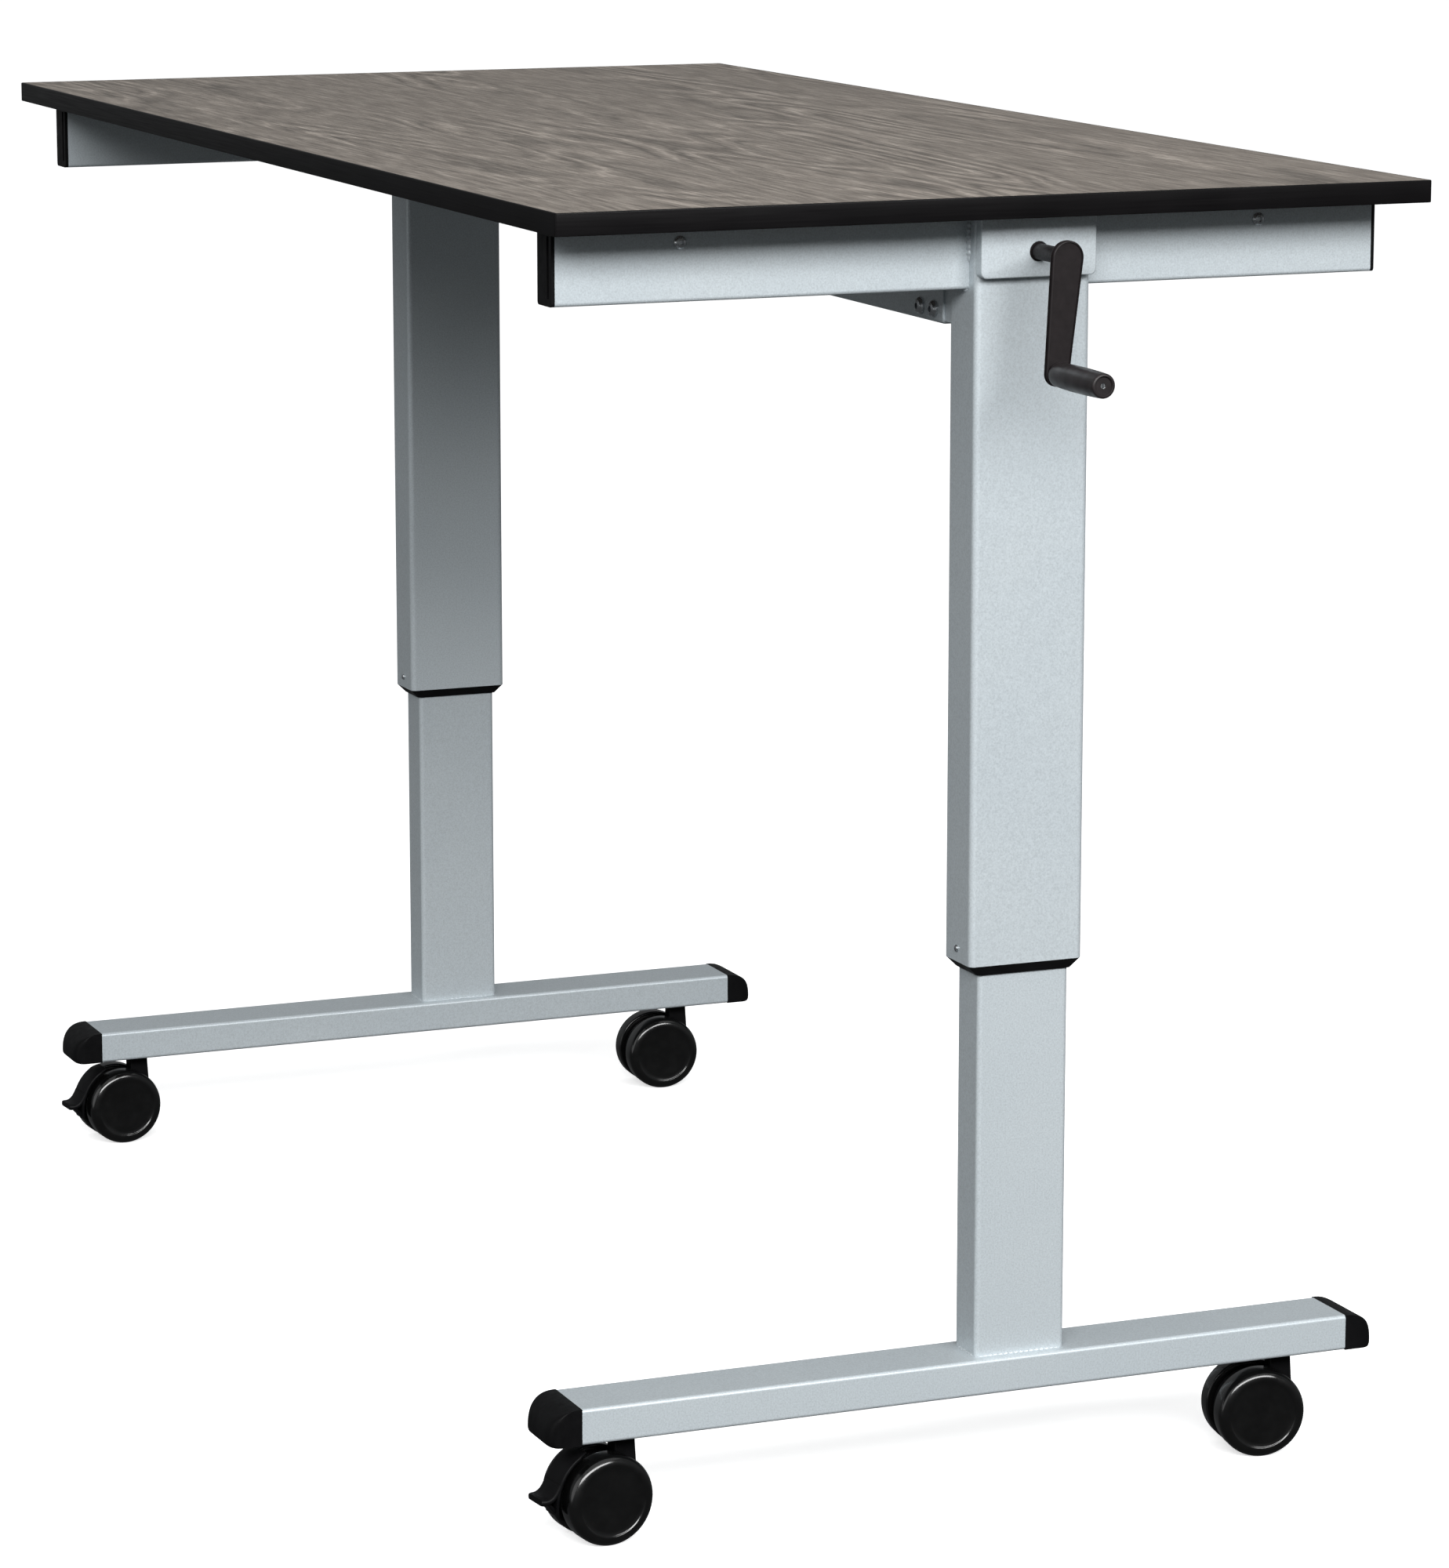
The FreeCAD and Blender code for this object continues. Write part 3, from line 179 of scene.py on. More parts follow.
def rough(tree, shader, place, grain, low, high):
    """Vary the roughness between two values, with patches of one size in millimetres."""
    noise = add(tree, "ShaderNodeTexNoise", {"Vector": place, "Scale": per_metre(grain), "Detail": 3.0})
    span = add(tree, "ShaderNodeMapRange", {"Value": noise.outputs["Fac"], "From Min": 0.3, "From Max": 0.7,
                                            "To Min": low, "To Max": high})
    tree.links.new(span.outputs["Result"], shader.inputs["Roughness"])


def dimple(tree, shader, height, strength, depth):
    """Bump the surface by a height pattern, to a depth in millimetres."""
    bump = add(tree, "ShaderNodeBump", {"Height": height, "Strength": strength, "Distance": depth * MM})
    tree.links.new(bump.outputs["Normal"], shader.inputs["Normal"])


def silver_powder_coat(tints):
    """Silver powder coat baked on steel: satin, with an orange-peel skin and metal flake. Real flake
    is 0.05 mm; it is drawn at 1.4 mm so that its sparkle shows."""
    material, tree, shader, place = start("silver_powder_coat")
    shader.inputs["Metallic"].default_value = 0.25
    shader.inputs["Coat Weight"].default_value = 0.08
    shader.inputs["Coat Roughness"].default_value = 0.35
    flake = add(tree, "ShaderNodeTexNoise", {"Vector": place, "Scale": per_metre(1.4), "Detail": 3.0})
    patch = add(tree, "ShaderNodeTexNoise", {"Vector": place, "Scale": per_metre(140), "Detail": 2.0})
    fine = add(tree, "ShaderNodeValToRGB", {"Fac": flake.outputs["Fac"]},
               stops=[(0.28, shade(tints.silver, 0.86)), (0.52, tints.silver),
                      (0.8, shade(tints.silver, 1.12))])
    broad = add(tree, "ShaderNodeValToRGB", {"Fac": patch.outputs["Fac"]},
                stops=[(0.35, (0.965, 0.972, 0.98)), (0.7, (1, 1, 1))])
    both = add(tree, "ShaderNodeMix", {0: 1.0, 6: fine.outputs["Color"], 7: broad.outputs["Color"]},
               data_type="RGBA", blend_type="MULTIPLY")
    tree.links.new(both.outputs[2], shader.inputs["Base Color"])
    rough(tree, shader, place, 2.2, 0.36, 0.5)
    peel = add(tree, "ShaderNodeTexNoise", {"Vector": place, "Scale": per_metre(3.2), "Detail": 1.0})
    dimple(tree, shader, peel.outputs["Fac"], 0.12, 0.12)
    return material


def oak_laminate(tints):
    """Printed oak laminate pressed on board: satin, grey brown, with flame figure along the desk, fine
    streaks and short dark pores. Real pores are 0.2 mm wide; they are drawn at 1.1 mm."""
    material, tree, shader, place = start("oak_laminate")
    shader.inputs["Specular IOR Level"].default_value = 0.35
    long_grain = add(tree, "ShaderNodeMapping", {"Vector": place, "Scale": (0.15, 1, 1)})
    heart = add(tree, "ShaderNodeTexNoise", {"Vector": long_grain.outputs["Vector"], "Scale": per_metre(105),
                                             "Detail": 1.0, "Roughness": 0.4, "Distortion": 0.5})
    jag_place = add(tree, "ShaderNodeMapping", {"Vector": place, "Scale": (0.12, 1, 1)})
    jag = add(tree, "ShaderNodeTexNoise", {"Vector": jag_place.outputs["Vector"], "Scale": per_metre(9),
                                           "Detail": 3.0, "Roughness": 0.65})
    jagged = add(tree, "ShaderNodeMath", {0: jag.outputs["Fac"], 1: 0.9}, operation="MULTIPLY")
    rings = add(tree, "ShaderNodeMath", {0: heart.outputs["Fac"], 1: 11.0, 2: jagged.outputs[0]},
                operation="MULTIPLY_ADD")
    folded = add(tree, "ShaderNodeMath", {0: rings.outputs[0], 1: 0.5}, operation="PINGPONG")
    figure = add(tree, "ShaderNodeValToRGB", {"Fac": folded.outputs[0]},
                 stops=[(0.03, (1.6, 1.61, 1.62)), (0.13, (1.1, 1.1, 1.1)), (0.34, (0.97, 0.97, 0.97)),
                        (0.46, (0.62, 0.62, 0.62))])
    patch = add(tree, "ShaderNodeTexNoise", {"Vector": long_grain.outputs["Vector"], "Scale": per_metre(85),
                                             "Detail": 3.0})
    strength = add(tree, "ShaderNodeMapRange", {"Value": patch.outputs["Fac"], "From Min": 0.42,
                                                "From Max": 0.58, "To Min": 0.2, "To Max": 1.0})
    streak_place = add(tree, "ShaderNodeMapping", {"Vector": place, "Scale": (0.06, 1, 1)})
    streak = add(tree, "ShaderNodeTexNoise", {"Vector": streak_place.outputs["Vector"],
                                              "Scale": per_metre(3.5), "Detail": 4.0, "Roughness": 0.6})
    ground = add(tree, "ShaderNodeValToRGB", {"Fac": streak.outputs["Fac"]},
                 stops=[(0.22, tints.oak_dark), (0.5, tints.oak_mid), (0.8, tints.oak_light)])
    figured = add(tree, "ShaderNodeMix", {0: strength.outputs["Result"], 6: ground.outputs["Color"],
                                          7: figure.outputs["Color"]},
                  data_type="RGBA", blend_type="MULTIPLY")
    pore_place = add(tree, "ShaderNodeMapping", {"Vector": place, "Scale": (0.14, 1, 1)})
    pore = add(tree, "ShaderNodeTexNoise", {"Vector": pore_place.outputs["Vector"],
                                            "Scale": per_metre(1.1), "Detail": 2.0})
    dark = add(tree, "ShaderNodeValToRGB", {"Fac": pore.outputs["Fac"]},
               stops=[(0.36, (0.74, 0.73, 0.72)), (0.47, (1, 1, 1))])
    pored = add(tree, "ShaderNodeMix", {0: 0.7, 6: figured.outputs[2], 7: dark.outputs["Color"]},
                data_type="RGBA", blend_type="MULTIPLY")
    tree.links.new(pored.outputs[2], shader.inputs["Base Color"])
    rough(tree, shader, pore_place.outputs["Vector"], 3.0, 0.4, 0.55)
    dimple(tree, shader, pore.outputs["Fac"], 0.2, 0.08)
    return material


def dark_edge_band(tints):
    """Extruded ABS edge band: nearly black, satin, with faint lines along the way it was drawn."""
    material, tree, shader, place = start("dark_edge_band")
    shader.inputs["Specular IOR Level"].default_value = 0.1
    tone(tree, shader, place, tints.band, 60, 0.18)
    lines = add(tree, "ShaderNodeMapping", {"Vector": place, "Scale": (0.02, 0.02, 1)})
    rough(tree, shader, lines.outputs["Vector"], 1.5, 0.28, 0.42)
    drawn = add(tree, "ShaderNodeTexNoise", {"Vector": lines.outputs["Vector"], "Scale": per_metre(1.2)})
    dimple(tree, shader, drawn.outputs["Fac"], 0.15, 0.05)
    return material


def black_plastic(tints):
    """Injection moulded polypropylene with a fine spark texture: deep black and satin. The texture is
    0.1 mm; it is drawn at 0.9 mm."""
    material, tree, shader, place = start("black_plastic")
    shader.inputs["Specular IOR Level"].default_value = 0.08
    tone(tree, shader, place, tints.black, 25, 0.2)
    rough(tree, shader, place, 6, 0.34, 0.48)
    spark = add(tree, "ShaderNodeTexNoise", {"Vector": place, "Scale": per_metre(0.9), "Detail": 2.0})
    dimple(tree, shader, spark.outputs["Fac"], 0.2, 0.06)
    return material


def gloss_black_nylon(tints):
    """Polished nylon wheels: black and glossy, with a little handling haze and fine dust."""
    material, tree, shader, place = start("gloss_black_nylon")
    tone(tree, shader, place, tints.wheel, 18, 0.25)
    shader.inputs["IOR"].default_value = 1.53
    shader.inputs["Coat Weight"].default_value = 0.25
    shader.inputs["Coat Roughness"].default_value = 0.08
    rough(tree, shader, place, 9, 0.13, 0.24)
    haze = add(tree, "ShaderNodeTexNoise", {"Vector": place, "Scale": per_metre(2.4), "Detail": 2.0})
    dimple(tree, shader, haze.outputs["Fac"], 0.06, 0.04)
    return material


def dark_powder_coat(tints):
    """Brown-black powder coat on the crank: matt, with an orange-peel skin."""
    material, tree, shader, place = start("dark_powder_coat")
    shader.inputs["Specular IOR Level"].default_value = 0.2
    tone(tree, shader, place, tints.crank, 8, 0.15)
    rough(tree, shader, place, 3, 0.42, 0.58)
    peel = add(tree, "ShaderNodeTexNoise", {"Vector": place, "Scale": per_metre(1.6), "Detail": 1.5})
    dimple(tree, shader, peel.outputs["Fac"], 0.25, 0.12)
    return material


def dark_grip_plastic(tints):
    """Moulded ABS grip: brown black, slightly worn smooth where the hand turns on it."""
    material, tree, shader, place = start("dark_grip_plastic")
    shader.inputs["Specular IOR Level"].default_value = 0.35
    tone(tree, shader, place, tints.grip, 12, 0.18)
    rough(tree, shader, place, 14, 0.3, 0.5)
    skin = add(tree, "ShaderNodeTexNoise", {"Vector": place, "Scale": per_metre(0.9), "Detail": 2.0})
    dimple(tree, shader, skin.outputs["Fac"], 0.18, 0.06)
    return material


def zinc_plated_steel(tints):
    """Bright zinc on turned steel: a clean metal, slightly blue, with soft plating blotches."""
    material, tree, shader, place = start("zinc_plated_steel")
    shader.inputs["Metallic"].default_value = 1.0
    tone(tree, shader, place, tints.zinc, 4, 0.12)
    rough(tree, shader, place, 2, 0.2, 0.36)
    turned = add(tree, "ShaderNodeTexNoise", {"Vector": place, "Scale": per_metre(0.8), "Detail": 2.0})
    dimple(tree, shader, turned.outputs["Fac"], 0.1, 0.03)
    return material


def cast_aluminium(tints):
    """Die-cast aluminium: dull grey metal with a grainy skin."""
    material, tree, shader, place = start("cast_aluminium")
    shader.inputs["Metallic"].default_value = 1.0
    tone(tree, shader, place, tints.aluminium, 10, 0.12)
    rough(tree, shader, place, 3, 0.45, 0.62)
    skin = add(tree, "ShaderNodeTexNoise", {"Vector": place, "Scale": per_metre(0.9), "Detail": 3.0})
    dimple(tree, shader, skin.outputs["Fac"], 0.35, 0.1)
    return material


def bronze(tints):
    """Machined bronze: warm metal with turning marks."""
    material, tree, shader, place = start("bronze")
    shader.inputs["Metallic"].default_value = 1.0
    tone(tree, shader, place, tints.bronze, 12, 0.1)
    rings = add(tree, "ShaderNodeMapping", {"Vector": place, "Scale": (0.02, 0.02, 1)})
    rough(tree, shader, rings.outputs["Vector"], 1, 0.22, 0.4)
    return material


def painted_floor(tints):
    """Matt white studio floor, very slightly uneven, and lit from below like a light table."""
    material, tree, shader, place = start("painted_floor")
    shader.inputs["Emission Color"].default_value = (1, 1, 1, 1)
    shader.inputs["Emission Strength"].default_value = 0.6
    tone(tree, shader, place, tints.floor, 900, 0.01)
    rough(tree, shader, place, 400, 0.85, 0.95)
    return material


FINISHES = (silver_powder_coat, oak_laminate, dark_edge_band, black_plastic, gloss_black_nylon,
            dark_powder_coat, dark_grip_plastic, zinc_plated_steel, cast_aluminium, bronze, painted_floor)


def finish_of(name):
    """The finished material of one name, made the first time it is asked for."""
    made = bpy.data.materials.get(f"{name}.finish")
    if made is None:
        maker = next(finish for finish in FINISHES if finish.__name__ == name)
        made = maker(bpy.context.scene.desk_colours)
        made.name = f"{name}.finish"
    return made


# Mesh helpers

def piece(name, bm, body, slot, nodes=(), sharp=35):
    """Make an object from a mesh in the row frame: smoothed, finished, riding and in place of nodes."""
    bmesh.ops.remove_doubles(bm, verts=bm.verts, dist=0.01 * MM)
    bmesh.ops.recalc_face_normals(bm, faces=bm.faces)
    mesh = bpy.data.meshes.new(name)
    bm.to_mesh(mesh)
    bm.free()
    mesh.shade_smooth()
    mesh.set_sharp_from_angle(angle=math.radians(sharp))
    made = bpy.data.objects.new(name, mesh)
    bpy.context.scene.collection.objects.link(made)
    mesh.materials.append(finish_of(slot))
    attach(made, body)
    if nodes:
        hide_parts(*nodes)
    return made


def loft(bm, rings, closed=True):
    """Skin rings of equally many points, and close the first and last ring."""
    rows = [[bm.verts.new(point) for point in ring] for ring in rings]
    count = len(rows[0])
    for low, high in zip(rows, rows[1:]):
        for step in range(count):
            after = (step + 1) % count
            bm.faces.new((low[step], low[after], high[after], high[step]))
    if closed:
        bm.faces.new(rows[0][::-1])
        bm.faces.new(rows[-1])
    return rows


def loop_loft(bm, rings):
    """Skin rings round a closed loop, the last one back to the first."""
    rows = loft(bm, rings, closed=False)
    for step in range(len(rows[0])):
        after = (step + 1) % len(rows[0])
        bm.faces.new((rows[-1][step], rows[-1][after], rows[0][after], rows[0][step]))


def arc(centre, radius, start_deg, end_deg, steps):
    """Points along an arc in a plane, between two angles in degrees."""
    points = []
    for step in range(steps + 1):
        angle = math.radians(start_deg + (end_deg - start_deg) * step / steps)
        points.append((centre[0] + radius * math.cos(angle), centre[1] + radius * math.sin(angle)))
    return points


def quarter(steps, first=0):
    """Angles in radians up to a right angle, in equal steps, from nought or from a later step."""
    return [math.pi / 2 * step / steps for step in range(first, steps + 1)]


def round_rectangle(low, high, radii, steps=6, between=0):
    """A rectangle's outline with a radius for each corner, counter-clockwise from the lower right, and
    with a number of points between the corners."""
    (x0, y0), (x1, y1) = low, high
    corners = ((x1, y0, -1, 1), (x1, y1, -1, -1), (x0, y1, 1, -1), (x0, y0, 1, 1))
    arcs = []
    for number, ((x, y, across, up), radius) in enumerate(zip(corners, radii)):
        centre = (x + across * radius, y + up * radius)
        arcs.append(arc(centre, radius, 90 * number - 90, 90 * number, steps))
    points = []
    for number, corner in enumerate(arcs):
        points += corner
        here, after = Vector(corner[-1]), Vector(arcs[(number + 1) % 4][0])
        points += [tuple(here.lerp(after, step / (between + 1))) for step in range(1, between + 1)]
    return points


def lathe(bm, profile, place, segments=72):
    """Turn a profile of (along, radius) points about the local X axis. Ends on the axis are closed."""
    rings = []
    for along, radius in profile:
        ring = [place @ Vector((along, radius * math.cos(turn), radius * math.sin(turn)))
                for turn in (math.tau * step / segments for step in range(segments))]
        rings.append(ring)
    loft(bm, rings)


def slab(bm, outline, low, high, rounding, place, steps=3):
    """A plate with rounded edges: an outline in the local YZ plane, thick along X."""
    centre = Vector((sum(y for y, z in outline), sum(z for y, z in outline))) / len(outline)
    rings = []
    for turn in quarter(steps):
        rings.append((low + rounding * (1 - math.sin(turn)), rounding * (1 - math.cos(turn))))
    for turn in quarter(steps)[::-1]:
        rings.append((high - rounding * (1 - math.sin(turn)), rounding * (1 - math.cos(turn))))
    rows = []
    for x, inset in rings:
        rows.append([place @ Vector((x, *shrunk)) for shrunk in inset_outline(outline, centre, inset)])
    loft(bm, rows)


def inset_outline(outline, centre, inset):
    """An outline moved inwards, each point along the mean of its two sides' normals."""
    count = len(outline)
    moved = []
    for number, point in enumerate(outline):
        here = Vector(point)
        before, after = Vector(outline[number - 1]), Vector(outline[(number + 1) % count])
        way = after - before
        normal = Vector((-way.y, way.x)).normalized()
        if normal.dot(centre - here) < 0:
            normal.negate()
        moved.append(tuple(here + normal * inset))
    return moved


def bead(bm, start_at, end_at, radius, pitch):
    """A weld bead between two points: a round strip whose width ripples."""
    way = Vector(end_at) - Vector(start_at)
    side = way.normalized().orthogonal().normalized()
    other = way.normalized().cross(side)
    rings_per_ripple, fewest, around = 5, 8, 10
    count = max(int(way.length / (pitch / rings_per_ripple)), fewest)
    rings = []
    for step in range(count + 1):
        share = step / count
        ripple = 1 + 0.2 * math.sin(math.tau * share * way.length / pitch)
        taper = min(1.0, 6 * min(share, 1 - share) + 0.35)
        here = Vector(start_at) + way * share
        rings.append([here + (side * math.cos(turn) + other * math.sin(turn)) * radius * ripple * taper
                      for turn in (math.tau * part / around for part in range(around))])
    loft(bm, rings)


def strap(bm, path, widths, thick, place):
    """A flat strap swept along a path in the local YZ plane, wide along X, with rounded edges."""
    rings = []
    for number, point in enumerate(path):
        here = Vector(point)
        way = Vector(path[min(number + 1, len(path) - 1)]) - Vector(path[max(number - 1, 0)])
        across = Vector((-way.y, way.x)).normalized()
        half = widths[number] / 2
        deep = thick[number] / 2
        outline = round_rectangle((-half, -deep), (half, deep), [deep * 0.9] * 4, 3)
        rings.append([place @ Vector((x, *(here + across * off))) for x, off in outline])
    loft(bm, rings)


def local_box(node, place):
    """The lowest and highest corners of a CAD node in a local frame."""
    back = place.inverted()
    points = [back @ vertex.co for vertex in frame["nodes"][node].data.vertices]
    low = Vector([min(point[axis] for point in points) for axis in range(3)])
    high = Vector([max(point[axis] for point in points) for axis in range(3)])
    return low, high


def axis_frame(centre, x_axis, z_axis=(0, 0, 1)):
    """A local frame at a point, from its X axis and roughly its Z axis."""
    x = Vector(x_axis).normalized()
    y = Vector(z_axis).cross(x).normalized()
    z = x.cross(y)
    made = Matrix((x, y, z)).transposed().to_4x4()
    made.translation = Vector(centre)
    return made


def caster_frame(side, end):
    """A caster's local frame: X along the axle, Y towards the stem, origin at the axle's middle."""
    joint = JOINTS[f"{side}_{end}_left_roll"]
    return axis_frame(joint["pos_m"], joint["axis"])


def mean(low, high):
    """Halfway between two values."""
    return (low + high) / 2


# Pieces

class DESK_OT_finish_frame(bpy.types.Operator):
    """Give every carried-over part the finish of its material slot"""
    bl_idname = "desk.finish_frame"
    bl_label = "Finish the frame"

    def execute(self, context):
        for part in frame["record"]["subparts"]:
            node = frame["nodes"][part["node"]]
            for slot in node.material_slots:
                slot.material = finish_of(part["material_slot"])
        return {"FINISHED"}


class DESK_OT_edge_band(bpy.types.Operator):
    """Build the desktop's edge band with rounded edges"""
    bl_idname = "desk.edge_band"
    bl_label = "Edge band"

    def execute(self, context):
        low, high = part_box("edge_band")
        inner_low, inner_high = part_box("desk_board")
        rounding = context.scene.desk_sizes.band_round
        wall = inner_low.x - low.x
        top, bottom = high.z, low.z
        profile = [(wall, bottom)]
        profile += [(rounding * (1 - math.sin(turn)), bottom + rounding * (1 - math.cos(turn)))
                    for turn in quarter(4)]
        profile += [(rounding * (1 - math.cos(turn)), top - rounding * (1 - math.sin(turn)))
                    for turn in quarter(4)]
        profile += [(wall, top)]
        corner = wall + MM
        rings = []
        for inset, z in profile:
            outline = round_rectangle((low.x + inset, low.y + inset), (high.x - inset, high.y - inset),
                                      [corner - inset] * 4)
            rings.append([Vector((x, y, z)) for x, y in outline])
        bm = bmesh.new()
        loop_loft(bm, rings)
        piece("edge_band_drawn", bm, "top", "dark_edge_band", ["edge_band"])
        return {"FINISHED"}


class DESK_OT_crossbeam(bpy.types.Operator):
    """Build the crossbeam as folded sheet, with round bends and round end corners"""
    bl_idname = "desk.crossbeam"
    bl_label = "Crossbeam"

    def execute(self, context):
        low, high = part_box("crossbeam")
        bend = context.scene.desk_sizes.beam_bend
        wall = 2 * MM
        outer = arc((low.y + bend, low.z + bend), bend, 270, 180, 6)
        outer += arc((low.y + bend, high.z - bend), bend, 180, 90, 6)
        inner = arc((low.y + bend, high.z - bend), bend - wall, 90, 180, 6)
        inner += arc((low.y + bend, low.z + bend), bend - wall, 180, 270, 6)
        section = [(high.y, low.z), *outer, (high.y, high.z), (high.y, high.z - wall), *inner,
                   (high.y, low.z + wall)]
        bm = bmesh.new()
        middle = mean(low.z, high.z)
        rings = []
        half = high.z - middle
        for end, way in ((low.x, 1), (high.x, -1)):
            rows = []
            for turn in quarter(6)[::-1]:
                squeeze = 1 - bend * (1 - math.cos(turn)) / half
                x = end + way * bend * (1 - math.sin(turn))
                rows.append([Vector((x, y, middle + (z - middle) * squeeze)) for y, z in section])
            rings += rows[::way]
        loft(bm, rings)
        piece("crossbeam_folded", bm, "top", "silver_powder_coat", ["crossbeam"])
        return {"FINISHED"}


class DESK_OT_covers(bpy.types.Operator):
    """Build the two cover plates at the columns' tops, with rounded faces and a shaft hole"""
    bl_idname = "desk.covers"
    bl_label = "Cover plates"

    def execute(self, context):
        sizes = context.scene.desk_sizes
        axis = Vector(JOINTS["crank_turn"]["pos_m"])
        hole, hole_edge = 8 * MM, 0.4 * MM
        wall = 2 * MM
        for side, out in SIDES.items():
            low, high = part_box(f"{side}_cover")
            face, back = (high.x, low.x) if out > 0 else (low.x, high.x)
            step_in = [(0, back), (0, face - out * sizes.cover_round)]
            step_in += [(sizes.cover_round * (1 - math.cos(turn)),
                         face - out * sizes.cover_round * (1 - math.sin(turn))) for turn in quarter(4, 1)]
            rings = [self.ring(low, high, inset, x, sizes.cover_corner) for inset, x in step_in]
            middle = Vector((0, axis.y, axis.z))
            turns = [math.atan2(point.z - middle.z, point.y - middle.y) for point in rings[0]]
            for radius, x in ((hole + hole_edge, face), (hole, face - out * hole_edge),
                              (hole, face - out * wall)):
                rings.append([Vector((x, middle.y + radius * math.cos(turn),
                                      middle.z + radius * math.sin(turn))) for turn in turns])
            rings += [self.ring(low, high, wall, face - out * wall, sizes.cover_corner),
                      self.ring(low, high, wall, back, sizes.cover_corner)]
            bm = bmesh.new()
            loop_loft(bm, rings)
            piece(f"{side}_cover_pressed", bm, "top", "silver_powder_coat", [f"{side}_cover"])
        return {"FINISHED"}

    def ring(self, low, high, inset, x, corner):
        """The plate's outline at one place along X: square corners above, round corners below. The
        points between the corners keep the hole round."""
        hard = 0.3 * MM
        soft = max(corner - inset, hard)
        outline = round_rectangle((low.y + inset, low.z + inset), (high.y - inset, high.z - inset),
                                  (soft, hard, hard, soft), steps=8, between=12)
        return [Vector((x, y, z)) for y, z in outline]


class DESK_OT_welds(bpy.types.Operator):
    """Build the weld beads where arms, columns and feet meet"""
    bl_idname = "desk.welds"
    bl_label = "Welds"

    def execute(self, context):
        sizes = context.scene.desk_sizes
        below_top, below_middle, from_side = 3 * MM, 8 * MM, 2 * MM
        corner = 4 * MM
        for side in SIDES:
            column_low, column_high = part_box(f"{side}_outer_column")
            bm = bmesh.new()
            for end, way in ENDS.items():
                low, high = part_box(f"{side}_{end}_arm")
                joint = column_low.y if way < 0 else column_high.y
                for x in (low.x, high.x):
                    bead(bm, (x, joint, high.z - below_top), (x, joint, mean(low.z, high.z) - below_middle),
                         sizes.bead_radius, sizes.bead_pitch)
                bead(bm, (low.x + from_side, joint, low.z), (high.x - from_side, joint, low.z),
                     sizes.bead_radius, sizes.bead_pitch)
            piece(f"{side}_arm_welds", bm, "top", "silver_powder_coat")
            low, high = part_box(f"{side}_inner_column")
            bm = bmesh.new()
            for x in (low.x, high.x):
                bead(bm, (x, low.y + corner, low.z), (x, high.y - corner, low.z), sizes.foot_bead,
                     sizes.bead_pitch)
            for y in (low.y, high.y):
                bead(bm, (low.x + corner, y, low.z), (high.x - corner, y, low.z), sizes.foot_bead,
                     sizes.bead_pitch)
            piece(f"{side}_foot_weld", bm, f"{side}_base", "silver_powder_coat")
        return {"FINISHED"}


class DESK_OT_foot_caps(bpy.types.Operator):
    """Build the domed plastic caps on the ends of both feet"""
    bl_idname = "desk.foot_caps"
    bl_label = "Foot caps"

    def execute(self, context):
        for side in SIDES:
            foot_low, foot_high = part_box(f"{side}_foot")
            low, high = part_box(f"{side}_foot_caps")
            bm = bmesh.new()
            for way in ENDS.values():
                root = foot_low.y if way < 0 else foot_high.y
                reach = abs((low.y if way < 0 else high.y) - root)
                place = Matrix.Translation((mean(foot_low.x, foot_high.x), root, foot_low.z))
                self.dome(bm, place, way, (foot_high.x - foot_low.x) / 2, foot_high.z - foot_low.z, reach,
                          context.scene.desk_sizes)
            piece(f"{side}_foot_caps_moulded", bm, f"{side}_base", "black_plastic", [f"{side}_foot_caps"],
                  sharp=50)
        return {"FINISHED"}

    def dome(self, bm, place, way, half, height, reach, sizes):
        """Rings up a cap: its plan with round corners, held back where the top falls away."""
        corner, base, flat = sizes.cap_corner, sizes.cap_base, sizes.cap_flat
        levels = [(base - base * math.cos(turn), reach - base + base * math.sin(turn))
                  for turn in quarter(5)]
        levels += [(base + (height - base) * math.sin(turn), flat + (reach - flat) * math.cos(turn))
                   for turn in quarter(20, 1)]
        side_steps, corner_steps = 8, 12
        straight = [(reach - corner) * step / side_steps for step in range(side_steps)]
        plan = [(-half, y) for y in straight]
        plan += arc((-half + corner, reach - corner), corner, 180, 90, corner_steps)
        plan += [(share * (half - corner), reach) for share in (-0.5, 0, 0.5)]
        plan += arc((half - corner, reach - corner), corner, 90, 0, corner_steps)
        plan += [(half, y) for y in straight[::-1]]
        rings = []
        for z, limit in levels:
            ring = []
            for x, y in plan:
                kept = soft_least(y, limit, sizes.cap_crease) if y > 0 else 0
                ring.append(place @ Vector((x, way * max(kept, 0), z)))
            rings.append(ring)
        loft(bm, rings)


def soft_least(one, other, reach):
    """The smaller of two values, with a smooth change where they cross."""
    blend = max(reach - abs(one - other), 0) / reach
    return min(one, other) - blend * blend * reach / 4


